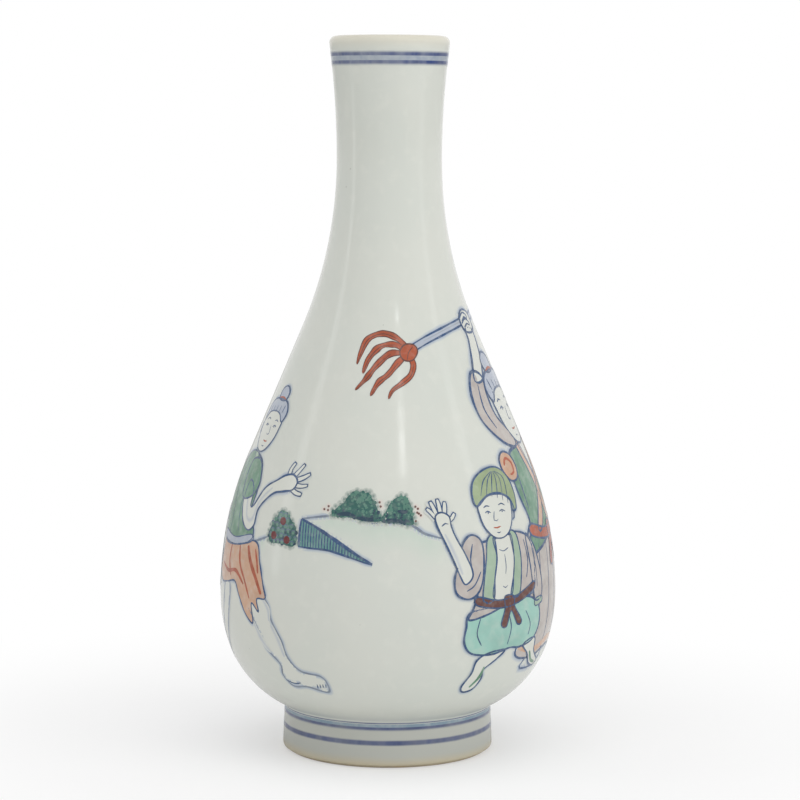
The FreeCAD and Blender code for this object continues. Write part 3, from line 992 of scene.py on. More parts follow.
    def shape(self, enamel, outline, width=0.42, level=1, load=1.0):
        """A filled shape with a drawn edge."""
        self.wash(enamel, outline, level, load=load)
        self.line("cobalt", outline, width, level + 2, closed=True)

    def limb(self, enamel, path, width, level):
        """A slim rounded form such as a finger, with its edges drawn."""
        self.stroke("haze", path, width + self.limb_haze, 0, load=0.6, ends=(0.9, 0.9), edge_load=0.0)
        self.stroke("cobalt", path, width + self.limb_edge, level, ends=(0.9, 0.55))
        self.stroke(enamel, path[:-1] + [self.short_of(path)], width, level + 1, ends=(0.9, 0.5))

    @staticmethod
    def short_of(path, gap=0.35):
        """The end of a path, drawn back so that the edge behind it shows."""
        (x1, y1), (x2, y2) = path[-2:]
        span = math.hypot(x2 - x1, y2 - y1)
        return x2 - (x2 - x1) / span * gap, y2 - (y2 - y1) / span * gap

    def dot(self, enamel, x, y, radius, level=3, load=1.0, edge_load=0.9):
        """A round touch of the brush."""
        sides = 9
        turns = [k * math.tau / sides for k in range(sides)]
        ring = [(x + radius * math.cos(turn), y + radius * math.sin(turn)) for turn in turns]
        marks = [(x, y, self.rise(level))] + [(*point, self.rise(level, True)) for point in ring]
        faces = [[0, 1 + k, 1 + (k + 1) % sides] for k in range(sides)]
        self.keep(enamel, marks, faces, [load] + [load * edge_load] * sides)

    def band(self, enamel, path, depth, load):
        """A wash that hangs under a line and thins out downwards."""
        line = smoothed(path, False, 1.2)
        rows = 6
        marks, loads, faces = [], [], []
        for n, (x, y) in enumerate(line):
            side = min(1.0, 6.0 * n / len(line), 6.0 * (len(line) - 1 - n) / len(line))
            for row in range(rows):
                fall = row / (rows - 1)
                marks.append((x, y - depth * fall, self.rise(0)))
                loads.append(load * side * (1 - fall) ** 1.1)
            if n:
                now, before = rows * n, rows * (n - 1)
                for k in range(rows - 1):
                    faces.append([before + k, before + k + 1, now + k + 1, now + k])
        self.keep(enamel, marks, faces, loads)

    def draw(self, marks, dress=None):
        """Draws a table of marks, each a kind, what it is, its level, its size and its points."""
        for kind, role, level, size, points in marks:
            enamel = (dress or {}).get(role, role)
            if kind == "shape":
                self.shape(enamel, points, size, level)
            elif kind == "pale":
                self.wash(enamel, points, level)
                self.line("cobalt", points, size, level + 2, closed=True, load=0.72)
            elif kind == "wash":
                self.wash(enamel, points, level, size)
            elif kind == "shade":
                self.stroke(enamel, points, size, level, load=0.7, edge_load=0.0)
            elif kind == "line":
                self.line(enamel, points, size, level)
            elif kind == "limb":
                self.limb(enamel, points, size, level)
            else:
                for x, y in points:
                    self.dot(enamel, x, y, size, level)


def enamel_finish(enamel):
    """The finish of an enamel, made once: how it mottles, covers, deepens and how fine its strokes are."""
    recipes = {
        "cobalt": (0.35, 0.85, 0.66, 700.0),
        "haze": (0.1, 0.8, 0.95, 300.0),
        "slate": (0.2, 0.8, 0.85, 500.0),
        "leaf_green": (0.4, 0.8, 0.74, 420.0),
        "foliage": (0.3, 0.9, 0.8, 700.0),
        "foliage_deep": (0.3, 0.9, 0.8, 700.0),
        "foliage_light": (0.3, 0.9, 0.85, 700.0),
        "fence_green": (0.3, 0.85, 0.8, 500.0),
        "turquoise": (0.35, 0.78, 0.82, 300.0),
        "mauve": (0.4, 0.74, 0.82, 400.0),
        "lapel_green": (0.2, 0.88, 0.86, 400.0),
        "cap_green": (0.3, 0.85, 0.82, 500.0),
        "salmon": (0.4, 0.75, 0.84, 420.0),
        "iron_red": (0.35, 0.92, 0.7, 700.0),
        "sash_brown": (0.3, 0.92, 0.75, 700.0),
        "berry_red": (0.3, 0.92, 0.75, 700.0),
        "meadow": (0.2, 0.7, 0.95, 300.0),
        "blush": (0.2, 0.8, 0.95, 500.0),
        "bare": (0.0, 1.0, 1.0, 500.0),
    }
    tone_name = "porcelain" if enamel == "bare" else enamel
    colour = getattr(bpy.context.scene.vase_colours, tone_name)
    name = f"enamel_{enamel}"
    return bpy.data.materials.get(name) or paint_finish(name, colour, *recipes[enamel])


def lay_out(painter, prefix):
    """Lays every enamel's sheet on the glaze as a piece of its own."""
    tree = tree_named("lay_on_vase", laying_tree)
    glaze = bpy.data.objects["glaze_coat"]
    for enamel, (points, faces, around, loads) in painter.sheets.items():
        mesh = bpy.data.meshes.new(f"{prefix}_{enamel}")
        mesh.from_pydata(points, [], faces)
        mesh.attributes.new("around", "FLOAT", "POINT").data.foreach_set("value", around)
        mesh.attributes.new("strength", "FLOAT", "POINT").data.foreach_set("value", loads)
        source = bpy.data.objects.new(mesh.name, mesh)
        bpy.context.scene.collection.objects.link(source)
        piece = grown(source, tree, {"Vase": glaze, "Reach": 80 * MM, "Finish": enamel_finish(enamel)})
        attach(piece, "root")


# Each mark is a kind, what it paints, its level, its line width, fade or radius, and its points in
# millimetres. A figure stands on height 0. Its head is drawn round a place of its own.

# That place: millimetres over the figure's foot, degrees round from its middle and levels over it
HEAD_HEIGHT = 51.4
HEAD_TURN = 0.8
HEAD_OVER = 6

HEAD = [
    ("shape", "bare", 6, 0.34, pairs(
        -5.9, 4.6, -6.3, 1.2, -5.2, -2.4, -2.6, -5.2, 0.6, -6, 3.8, -4.8, 6, -1.8, 6.9, 2, 6.4, 5.4,
        0.4, 7.6)),
    ("line", "cobalt", 8, 0.3, pairs(-4.5, 3.2, -3.4, 3.7, -2.2, 3.4)),
    ("line", "cobalt", 8, 0.3, pairs(1.4, 3.5, 2.8, 3.9, 4.2, 3.2)),
    ("line", "cobalt", 8, 0.34, pairs(-4.3, 1.7, -3.2, 2.1, -2.1, 1.6)),
    ("line", "cobalt", 8, 0.34, pairs(1.4, 1.7, 2.6, 2.1, 3.9, 1.5)),
    ("line", "cobalt", 8, 0.26, pairs(-0.7, 1.9, -1.2, 0.2, -1.3, -0.6, -0.3, -0.9, 0.4, -0.5)),
    ("line", "iron_red", 8, 0.42, pairs(-1.9, -2.7, -0.6, -2.9, 0.9, -2.6)),
    ("line", "cobalt", 8, 0.24, pairs(-0.9, -4.2, -0.1, -4.4, 0.7, -4.2)),
    ("line", "cobalt", 8, 0.26, pairs(6.8, 2, 7.9, 1.8, 7.7, -0.6, 6.4, -1.2)),
    ("dot", "cobalt", 8, 0.26, pairs(-3.1, 1.6, 2.6, 1.6)),
]

SOFT_CAP = [
    ("shape", "hat", 9, 0.4, pairs(
        -6.8, 3.8, -7.6, 7.4, -5.8, 11.4, -1, 14, 4.2, 14.2, 8.2, 11.2, 9.8, 6.2, 9.3, 1.8, 7.6, 1.4,
        6.8, 4.6, 3, 6.6, -2.2, 6.4)),
    *[("line", "cobalt", 11, 0.24, pairs(
        1.4 + 0.3 * k, 13.2, -2.4 + 1.7 * k, 10.8, -4.6 + 2.1 * k, 6.6 - 0.12 * k * k)) for k in range(6)],
    ("line", "cobalt", 11, 0.5, pairs(-6.6, 3.9, -2.2, 6.6, 3, 6.8, 7, 4.8, 8.4, 1.4)),
]

SCHOLAR_CAP = [
    ("shape", "hat", 9, 0.4, pairs(
        -6.4, 3.6, -6.6, 8.6, -4.2, 11.4, 0.6, 12.2, 5.4, 11, 7.6, 8, 7, 3.4, 0.4, 6.4)),
    ("line", "cobalt", 11, 0.6, pairs(-6.4, 4.6, 0.4, 7.6, 7.2, 4.4)),
    ("shape", "hat", 8, 0.3, pairs(7, 7.4, 10.4, 9.6, 13.6, 8.4, 13.8, 6.4, 10.4, 6.6, 7.2, 5.6)),
    ("line", "cobalt", 11, 0.3, pairs(-3, 7.4, -3.2, 10.6)),
    ("line", "cobalt", 11, 0.3, pairs(3.2, 7.6, 3.4, 11.2)),
]

BUN = [
    ("shape", "slate", 9, 0.36, pairs(
        -6.2, 3.4, -7.4, 6.2, -5.4, 9.2, -1, 10, 3.6, 9.4, 6.4, 6.6, 6.8, 3, 4.2, 5.4, 0.2, 6.2,
        -3.6, 5.6)),
    ("shape", "slate", 9, 0.36, pairs(-3.6, 9.6, -4.6, 12, -2.4, 13.8, 0.4, 12.8, 0.6, 10)),
    ("line", "iron_red", 11, 0.6, pairs(-4, 9.8, -1.8, 10.4, 0.8, 10)),
    *[("line", "cobalt", 11, 0.3, pairs(
        -5.2 + 2.3 * k, 8.2 - 0.2 * k, -4.6 + 2.2 * k, 5.8)) for k in range(5)],
]

TROUSERS = [
    ("shape", "skirt", 1, 0.5, pairs(
        -11.6, 24.6, -13.2, 20, -13.4, 15.4, -10.4, 12, -3, 11, 4, 12.2, 9, 11.8, 15.6, 13.2, 18.8, 17.6,
        17.8, 23.4, 11, 27, 0, 25.6)),
    ("line", "cobalt", 4, 0.34, pairs(-8.4, 22.6, -9.4, 18, -7.4, 14.2)),
    ("line", "cobalt", 4, 0.34, pairs(2.4, 23, 3.8, 18.4, 2.8, 13.4)),
    ("line", "cobalt", 4, 0.34, pairs(10.4, 22.8, 13.2, 18.4, 12.6, 15)),
    ("shape", "bare", 0, 0.46, pairs(
        -4, 11.6, -8, 9.6, -8.8, 5.6, -10.6, 1.6, -9.4, -0.4, -6.2, 0.2, -4.6, 3.6, -4.8, 6.4, -0.8, 9.2,
        2.2, 11.8)),
    ("line", "leaf_green", 3, 1.0, pairs(-4.8, 7.4, -5.6, 4, -7.8, 1)),
    ("shape", "bare", 0, 0.46, pairs(
        10.8, 12.2, 14.2, 8.8, 17.2, 5, 21.4, 3.8, 23, 5.4, 20.4, 7.2, 18.2, 9.4, 17, 13.6)),
    ("line", "leaf_green", 3, 1.0, pairs(15.4, 9.4, 17.8, 6.2, 21.2, 4.8)),
]

ROBE = [
    ("shape", "robe", 3, 0.5, pairs(
        -3, 45.2, -8, 44.2, -10.8, 40.6, -10.8, 35, -9.4, 29.6, -11, 25.4, -12.4, 22.4, -6.2, 23.4, 2, 26,
        8.2, 27.4, 14.8, 28, 16, 34, 16, 40.4, 13.2, 44.8, 8, 46.6, 4, 46)),
    ("line", "cobalt", 6, 0.36, pairs(-8.2, 42, -8.6, 37, -8.4, 32)),
    ("line", "cobalt", 6, 0.36, pairs(11.2, 44, 12.4, 38, 11.2, 32.6)),
    ("shape", "robe", 5, 0.46, pairs(
        12.6, 45.2, 16.4, 42, 18.8, 36.6, 20.4, 30, 19.6, 25.8, 15.8, 25.2, 14.6, 29.6, 13.8, 35)),
    ("line", "cobalt", 7, 0.32, pairs(15.2, 41, 16.8, 35, 17.2, 29)),
    ("shape", "trim", 7, 0.34, pairs(15.6, 25.4, 19.8, 26, 20, 24.2, 15.8, 23.4)),
]

OPEN_FRONT = [
    ("shape", "bare", 5, 0.34, pairs(
        -1.8, 46.2, 5, 46.6, 5.8, 40, 5, 34.4, 3.4, 28, -3.4, 28, -2.8, 34, -1.4, 40)),
    ("line", "cobalt", 7, 0.28, pairs(-0.2, 42.2, 1.6, 41.6, 3.6, 42.4)),
    ("line", "cobalt", 7, 0.26, pairs(1.8, 40.6, 2, 37.4, 1.6, 34.8)),
    ("line", "cobalt", 7, 0.26, pairs(0.2, 31.4, 1.2, 30.8, 2.2, 31.4)),
    ("shape", "trim", 6, 0.4, pairs(
        -4.4, 45.2, -1.8, 46.4, -1.4, 40, -2.8, 34, -3.6, 27.6, -7.4, 27.8, -6.6, 34.6, -5.4, 40)),
    ("shape", "trim", 6, 0.4, pairs(
        5, 46.8, 7.8, 46, 9, 40, 8.6, 34, 7.2, 28.2, 3.4, 27.8, 5, 34.4, 5.8, 40)),
]

CROSSED_FRONT = [
    ("shape", "bare", 5, 0.34, pairs(-1.8, 45.8, 4.6, 46.2, 3, 41.6, 1.6, 38.4, -0.2, 41.6)),
    ("shape", "trim", 5, 0.36, pairs(-3.8, 45.4, -1.6, 46, 1.4, 39.4, 6.4, 28.4, 3.6, 27.6, -0.8, 37.6)),
    ("shape", "trim", 7, 0.36, pairs(5.2, 46.8, 7.4, 46.2, 5.2, 38.8, -2.6, 28, -5.6, 28.2, 1.8, 38)),
]

SASH = [
    ("shape", "sash", 8, 0.36, pairs(
        -9.4, 29, -9.8, 26.6, -2, 25, 6, 25.6, 14.6, 28.6, 15, 31, 6, 28, -2, 27.4)),
    ("shape", "sash", 10, 0.32, pairs(
        0.8, 28.2, 4.6, 28, 5, 24.8, 8.4, 20, 6.4, 19.2, 3.4, 23.6, 1.6, 19, -0.6, 19.8, 0.8, 24.6)),
]

RAISED_ARM = [
    ("shape", "robe", 9, 0.5, pairs(
        -6.4, 44.6, -9.6, 47.2, -12.8, 45, -14.4, 40, -16.6, 35, -16.2, 30.4, -12.4, 28.6, -8.8, 30.6,
        -6.8, 36)),
    ("line", "cobalt", 11, 0.34, pairs(-9.8, 44.6, -11, 40, -10.4, 36.4)),
    ("line", "cobalt", 11, 0.34, pairs(-7.8, 36.4, -10.2, 32.6, -13, 31)),
    *[("limb", "bare", 10, 1.0, path) for path in (
        pairs(-20, 52.4, -21.4, 54.4, -22.6, 55.6), pairs(-19.6, 53, -20.4, 55.8, -21, 57.6),
        pairs(-18.5, 53.4, -18.5, 56.4, -18.7, 58.2), pairs(-17.4, 53.2, -16.8, 55.8, -16.5, 57.4),
        pairs(-16.6, 51.4, -15, 52.6, -14, 54))],
    ("shape", "bare", 12, 0.42, pairs(
        -13.2, 33, -10.6, 35.6, -12.2, 41, -14.8, 46.6, -15.8, 50, -16, 53, -18.2, 54.2, -20.2, 53.2,
        -20.2, 50.4, -18.8, 46.4, -16.6, 40.4, -14.8, 35.4)),
    ("shade", "slate", 13, 1.5, pairs(-14, 36, -16, 42, -18.2, 48)),
    ("line", "cobalt", 14, 0.3, pairs(-18.8, 50.2, -17.6, 51, -16.6, 50.8)),
]

HIGH_ARM = [
    ("shape", "sleeve", 9, 0.46, pairs(
        -4, 45, -9, 46.6, -13, 51, -13, 56.6, -10, 61.4, -6.6, 60.4, -7.6, 56, -7.2, 51.6, -3, 47)),
    ("line", "cobalt", 11, 0.32, pairs(-9.2, 49.4, -10.8, 53.6, -9.4, 58.8)),
    ("shape", "bare", 10, 0.4, pairs(
        -9.8, 59.6, -7.6, 64, -5.6, 68, -5, 70.4, -1.8, 70, -2.4, 66.6, -4.4, 62.8, -6.8, 59.6)),
    ("shape", "bare", 12, 0.4, pairs(-5.4, 70, -5.8, 72.6, -3.8, 74.4, -1, 73.8, -0.4, 71, -2.4, 69.6)),
    ("limb", "bare", 14, 0.6, pairs(-5.4, 72.4, -3.6, 73.4, -2, 72.6)),
    ("limb", "bare", 14, 0.6, pairs(-5.2, 71.2, -3.4, 72, -1.8, 71.2)),
    ("shape", "salmon", 12, 0.36, pairs(
        -13.6, 40.8, -13.2, 43.2, -11.2, 44.6, -8.8, 43.8, -8, 41.2, -9.4, 38.8, -12, 38.6)),
    ("line", "iron_red", 15, 0.7, pairs(-12.4, 41.8, -11, 43.2, -9.4, 42.2, -9.8, 40.2, -11.4, 39.8)),
]

JOINED_SLEEVES = [
    ("shape", "robe", 7, 0.4, pairs(
        -9, 44.4, -14.2, 38, -17.6, 29, -16.4, 22, -11, 22.6, -5, 29, 0.6, 33.4, 1.6, 37, -3, 38)),
    ("shape", "robe", 7, 0.4, pairs(
        12.4, 45, 17, 38.4, 19.4, 29.4, 17.6, 22.4, 12.4, 22.8, 6.4, 29.4, 1.2, 33.4, 0.8, 37.2,
        5.8, 38.2)),
    ("shape", "trim", 9, 0.28, pairs(-2.4, 38.2, 1.6, 37.6, 4.6, 38, 3.8, 32.6, 0.8, 30.6, -1.8, 32.8)),
    ("line", "cobalt", 9, 0.28, pairs(-10.6, 40.6, -13, 33.4, -13.4, 26.6)),
    ("line", "cobalt", 9, 0.28, pairs(13.6, 41, 15.6, 33.6, 15.4, 26.8)),
]

LONG_SKIRT = [
    ("shape", "skirt", 1, 0.42, pairs(
        -10.6, 28, -12.6, 18, -15, 8, -16.4, 1.6, -9, 0, 0, 1.4, 9, -0.2, 17.4, 1.4, 16, 10, 14.8, 20,
        13.4, 28.6, 0, 27)),
    *[("line", "cobalt", 4, 0.28, pairs(
        -7.2 + 4.6 * k, 24.6, -8.8 + 5.4 * k, 14, -10.8 + 6.4 * k, 3)) for k in range(5)],
    ("line", "trim", 3, 1.5, pairs(-16, 3, -8.8, 1.6, 0.2, 3, 9, 1.4, 17, 3)),
    ("shape", "bare", 0, 0.34, pairs(-8.6, 1.4, -12.2, -0.6, -12, -2.2, -5, -2.2, -4, 1.2)),
    ("shape", "bare", 0, 0.34, pairs(5.6, 1, 4.6, -2.2, 11.6, -2.4, 12.6, -0.8, 9.8, 1.2)),
]

WALKER = [
    ("pale", "bare", 0, 0.4, pairs(
        -13, 31, -15.4, 22, -19.6, 12, -24.6, 6, -24, 3, -20.6, 4.4, -15.8, 10, -11, 18, -8.4, 28)),
    ("pale", "bare", 0, 0.42, pairs(
        5, 31, 9.4, 29.4, 13.2, 26, 14.6, 21.4, 17.8, 15.8, 19, 10.4, 22.4, 6.6, 28.6, 5.6, 29.6, 3,
        28, 0.4, 22, 1.6, 16.6, 1.2, 14.6, 4.4, 15.2, 8, 11, 12.4, 8, 18.4, 4.8, 23, 0.6, 26)),
    ("shade", "slate", 3, 1.7, pairs(10.6, 27.4, 13.2, 24.6, 13.6, 21)),
    ("shade", "slate", 3, 1.9, pairs(14.2, 20, 16.6, 15.6, 17.8, 10.6)),
    ("shade", "slate", 3, 1.7, pairs(6.4, 20, 9.6, 14.6, 12.6, 11.4)),
    ("line", "cobalt", 4, 0.3, pairs(14.8, 3, 17.4, 2.2, 20.2, 2.6)),
    *[("line", "cobalt", 4, 0.26, pairs(25.4 + k, 1.4 + 0.2 * k, 26 + k, 2.8 + 0.1 * k)) for k in range(4)],
    ("shape", "skirt", 3, 0.42, pairs(
        -17, 43.6, -6, 42.4, 5.2, 43.8, 8.4, 38, 10.8, 31.4, 12, 27.6, 8.2, 27, 9, 23.2, 5.6, 25.4,
        6, 19.4, 2, 22, -1.8, 27, -5, 30.6, -11, 29.6, -17.6, 29, -21, 32.4, -19.4, 38.6)),
    ("line", "iron_red", 5, 1.5, pairs(1.6, 42.2, 3.6, 38, 7.2, 33, 10, 28.6)),
    ("line", "iron_red", 5, 1.0, pairs(-3.4, 41.6, -2.2, 36.4, 1.4, 31.6, 4.4, 26.6)),
    ("line", "iron_red", 5, 1.0, pairs(-9.6, 41.8, -10.4, 36.4, -8.4, 31.8)),
    ("line", "iron_red", 5, 1.2, pairs(-17.4, 34.6, -11, 33, -4.6, 33.8, 0.8, 30.4)),
    ("line", "iron_red", 5, 0.9, pairs(5.6, 41.6, 7, 38.2, 8, 34.6)),
    ("shape", "robe", 5, 0.42, pairs(
        -6.4, 68.4, -12.4, 69, -18.4, 65.6, -21.6, 58, -21.2, 50, -18.2, 42, -8, 41.4, 1.6, 43.4, 3, 46.8,
        -0.6, 52, 0, 58.6, -1.4, 65.4)),
    ("line", "cobalt", 7, 0.3, pairs(-13.6, 66.4, -15.6, 58, -14, 49.6, -14.6, 44)),
    ("line", "cobalt", 7, 0.3, pairs(-7.4, 62, -8.6, 54, -6.6, 45.4)),
    ("shape", "sash", 7, 0.28, pairs(
        -18.6, 44.6, -8, 43.6, 2.4, 45.6, 2.6, 43.4, -7.8, 41.4, -18.4, 42.2)),
    ("shape", "trim", 7, 0.28, pairs(
        -10.4, 69.6, -8.2, 70.2, -4.6, 64.6, -1, 60.6, -1.4, 57.8, -6.2, 63)),
    *[("limb", "bare", 8, 1.0, path) for path in (
        pairs(14.8, 60.6, 17.2, 59.4, 19.6, 59), pairs(15.6, 61.6, 18.4, 61.4, 20.8, 61.8),
        pairs(15.4, 62.8, 18.2, 63.8, 20.4, 65.2), pairs(14.4, 63.6, 16, 65.8, 17.2, 67.8),
        pairs(12.8, 63.4, 12.6, 65.8, 13.6, 68))],
    ("shape", "bare", 10, 0.44, pairs(
        -6.2, 60.8, -7.4, 54.6, -4.6, 49, -0.4, 46.6, 2.6, 48.4, 3.2, 53.4, 8, 58.2, 12.4, 59.4,
        15.8, 60.2, 16.6, 62.6, 14.4, 64.4, 11.4, 64, 8.6, 62.4, 4, 59.6, 0.4, 54.2, -1.6, 53.8,
        -2.2, 58.6)),
    ("shade", "slate", 11, 1.6, pairs(-4.8, 56, -2.4, 50.4, 1, 50, 3, 55.6, 7.4, 60)),
    ("shape", "robe", 12, 0.44, pairs(
        -3.2, 66.8, -9.4, 66.4, -10.4, 60, -8.4, 55.4, -2.6, 56.4, 0.2, 60.6)),
]

FAN = [
    ("line", "cobalt", 10, 0.7, pairs(-18, 26, -18.4, 46, -18.6, 66)),
    ("shape", "fan", 10, 0.4, pairs(
        -18.6, 66, -24, 69, -25.6, 75.4, -22.6, 81.6, -18.4, 84, -14.4, 81.4, -11.8, 75.4, -13.4, 69)),
    *[("line", "cobalt", 12, 0.28, pairs(
        -18.6, 66.4, -21.4 + 1.5 * k, 74, -23.6 + 2.6 * k, 78.4 + 0.9 * min(k, 4 - k))) for k in range(5)],
]

ROCK = [
    ("shape", "slate", 1, 0.5, pairs(
        -15, 0, -16.4, 5, -12.6, 9, -13.4, 15, -8.4, 20.6, -3.4, 18, -1.6, 24, 4, 26.4, 8, 21, 7, 15.6,
        12.4, 13, 13, 7, 17.4, 3, 16.6, -1, 0, -2)),
    ("wash", "turquoise", 2, 1.6, pairs(
        -12.4, 1, -13, 6.6, -9.6, 9.4, -9.8, 15, -6.4, 17.4, -3.4, 10, -4.8, 2)),
    ("wash", "leaf_green", 2, 1.6, pairs(1, 4, 0, 14, 2.4, 23, 6, 20, 5, 12, 8.4, 5)),
    ("line", "cobalt", 4, 0.5, pairs(-8, 17.6, -6, 11.6, -7.6, 4)),
    ("line", "cobalt", 4, 0.5, pairs(-1.8, 21, -0.4, 13, -2.2, 5)),
    ("line", "cobalt", 4, 0.5, pairs(6.4, 15.8, 4.2, 10, 6.4, 2)),
    ("line", "cobalt", 4, 0.4, pairs(11, 11, 9.4, 6, 11.6, 1)),
]

TREE = [
    ("shape", "salmon", 1, 0.46, pairs(
        -4.6, 0, -2.6, 12, -4.4, 26, -1.4, 38, -3, 50, -1.2, 58, 1.4, 57.6, 1.2, 48, 4.8, 52.6, 6.4, 51,
        2.4, 43.6, 2.8, 34, 0.8, 24, 3.4, 12, 6.6, 0)),
    *[("line", "iron_red", 4, 0.34, pairs(
        -1.8 + 0.7 * (k % 3), 6 + 6.4 * k, 0.2, 8.4 + 6.4 * k, 0.6, 11 + 6.4 * k)) for k in range(7)],
]

GRASS = [("line", "foliage", 2, 0.5, pairs(
    0.6 * k, 0, 1.1 * k, 2.4, 1.9 * k, 4.6 - 0.35 * abs(k))) for k in range(-3, 4)]


def leaves(painter, outline, seed, level=2):
    """A soft mass of foliage: a feathered edge, then dabs that darken towards its foot."""
    chance = Random(seed)
    ring = smoothed(outline, True)
    xs, ys = [x for x, _ in ring], [y for _, y in ring]
    for x, y in ring:
        spot = (x + chance.uniform(-0.5, 0.5), y + chance.uniform(-0.3, 0.5))
        painter.dot("foliage", *spot, chance.uniform(0.7, 1.3), level, 0.8, 0.15)
    painter.wash("foliage", outline, level + 1)
    dabs_per_square, middle_from, deep_from = 2.2, 0.45, 1.0
    for _ in range(int((max(xs) - min(xs)) * (max(ys) - min(ys)) * dabs_per_square)):
        spot = (chance.uniform(min(xs), max(xs)), chance.uniform(min(ys), max(ys)))
        if inside(spot, ring):
            low = (spot[1] - min(ys)) / (max(ys) - min(ys))
            depth = chance.random() + 0.55 - low
            middle = "foliage" if depth > middle_from else "foliage_light"
            enamel = "foliage_deep" if depth > deep_from else middle
            painter.dot(enamel, *spot, chance.uniform(0.3, 0.62), level + 2, 1.0, 1.0)


def berries(painter, spots, radius=0.36):
    """Dark red touches in a pale pink blush."""
    blush_share = 3.4
    for x, y in spots:
        painter.dot("blush", x, y, radius * blush_share, 1, 0.8, 0.0)
    for x, y in spots:
        painter.dot("sash_brown", x, y, radius, 4)


def blossom_bush(painter):
    """Small scalloped leaves in green and blue with three dark red berries."""
    chance = Random(11)
    outline = pairs(
        -28.6, 69.8, -29, 73, -26.6, 76.6, -24.6, 79.2, -22, 78.4, -20.2, 76.4, -18.8, 75, -18.2, 71.4,
        -19.4, 69.2, -24, 69.6)
    leaves(painter, outline, 12, 1)
    ring = smoothed(outline, True)
    for row in range(6):
        for column in range(6):
            x = -29.0 + 1.9 * column + chance.uniform(-0.4, 0.4) + (row % 2) * 0.9
            y = 70.0 + 1.6 * row + chance.uniform(-0.3, 0.3)
            if inside((x, y), ring):
                scallop = [(x + 0.85 * math.cos(a), y + 0.85 * math.sin(a)) for a in (0.2, 1.1, 2.0, 2.9)]
                painter.stroke("cobalt", scallop, 0.34, 5, load=0.9)
                painter.dot("foliage_light", x, y + 0.1, 0.5, 4)
    for x, y in ((-23.6, 76.2), (-27.0, 71.8), (-21.8, 70.9)):
        painter.dot("berry_red", x, y, 1.2, 7, edge_load=1.0)


def fence(painter):
    """A fence that runs downhill: a green wedge with upright rails between two blue lines."""
    upper = pairs(-16.8, 77.4, -12.6, 75.8, -8.6, 73.8, -5, 71.8, -1.3, 69.6, 2.4, 67.4, 6, 65.5)
    lower = pairs(-17.5, 69.4, -12.6, 69.2, -7.8, 69, -4.2, 68.2, -0.6, 67.2, 2.6, 66.2, 6, 65.2)
    rails = [smoothed(rail, False) for rail in (upper, lower)]
    painter.wash("fence_green", rails[0] + rails[1][::-1], 1, soft=False)
    first, spacing, uprights = -16.9, 0.92, 24
    for n in range(uprights):
        x = first + spacing * n
        k = max(0, sum(1 for spot in upper if spot[0] <= x) - 1)
        part = min(max((x - upper[k][0]) / (upper[k + 1][0] - upper[k][0]), 0.0), 1.0)
        top = upper[k][1] + (upper[k + 1][1] - upper[k][1]) * part
        foot = lower[k][1] + (lower[k + 1][1] - lower[k][1]) * part
        painter.stroke("cobalt", [(x, top), (x - 0.1, (top + foot) / 2), (x - 0.05, foot)], 0.4, 3)
    painter.line("cobalt", upper, 0.75, 5)
    painter.line("cobalt", lower, 0.5, 5)
    painter.line("cobalt", [upper[0], (-17.3, 73.4), lower[0]], 0.5, 5)


def whisk(painter):
    """A grey-blue pole with a red tassel of curling strands."""
    pole = pairs(3.4, 125.6, 9.3, 128.8, 14.4, 130.9, 20.3, 132.8, 28, 134.5, 36, 135.4, 43, 136)
    painter.stroke("slate", pole, 2.4, 2, ends=(1.0, 1.0))
    for side in (-1.0, 1.0):
        painter.line("cobalt", [(x - 0.3 * side, y + side) for x, y in pole], 0.5, 4)
    painter.stroke("cobalt", [(x - 0.1, y + 0.1) for x, y in pole[1:5]], 0.26, 4, load=0.5)
    painter.shape("salmon", pairs(42.4, 137.6, 45.2, 138.4, 47, 136.6, 45.6, 134.6, 42.6, 134.6), 0.4, 5)
    strands = [
        pairs(4.2, 126.4, 1.4, 129.6, -3, 131.2, -7.6, 129.6, -10, 125.4, -11.2, 122.2),
        pairs(4, 126, 0.4, 128, -4, 127.4, -7.6, 123.8, -9.4, 119.6),
        pairs(3.6, 125.4, -1, 125.4, -5.2, 122, -8.4, 118.2, -11.8, 114.8),
        pairs(3.6, 124.8, 1.2, 122.8, -1.8, 119.4, -4.8, 117, -7.2, 113.2),
        pairs(4.2, 124.8, 5.8, 122.4, 5, 119.2, 2.2, 116.8, -0.6, 114.8, -1.8, 112.4),
    ]
    for order, strand in enumerate(strands):
        painter.stroke("sash_brown", strand, 1.9, 2 + order, ends=(0.9, 0.15))
        painter.stroke("iron_red", strand, 1.35, 3 + order, ends=(0.9, 0.1))
        painter.stroke("sash_brown", [(x + 0.1, y - 0.1) for x, y in strand[1:]], 0.26, 4 + order)
    knot = pairs(6.2, 127.8, 3.4, 128, 1.8, 126, 2.8, 123.6, 5.6, 123.4, 7.2, 125.8)
    painter.wash("iron_red", knot, 9)
    painter.stroke("sash_brown", knot, 0.42, 10, closed=True)
    painter.stroke("sash_brown", pairs(5.8, 127.4, 4.4, 125.6, 4, 123.6), 0.3, 10)


def hill_line(painter, turn, points, below=9.0):
    """A stretch of hill with a pale green wash under its line."""
    painter.place(turn, 0.0)
    painter.line("cobalt", points, 0.6, 2, load=0.75)
    painter.band("meadow", points, below, 0.9)


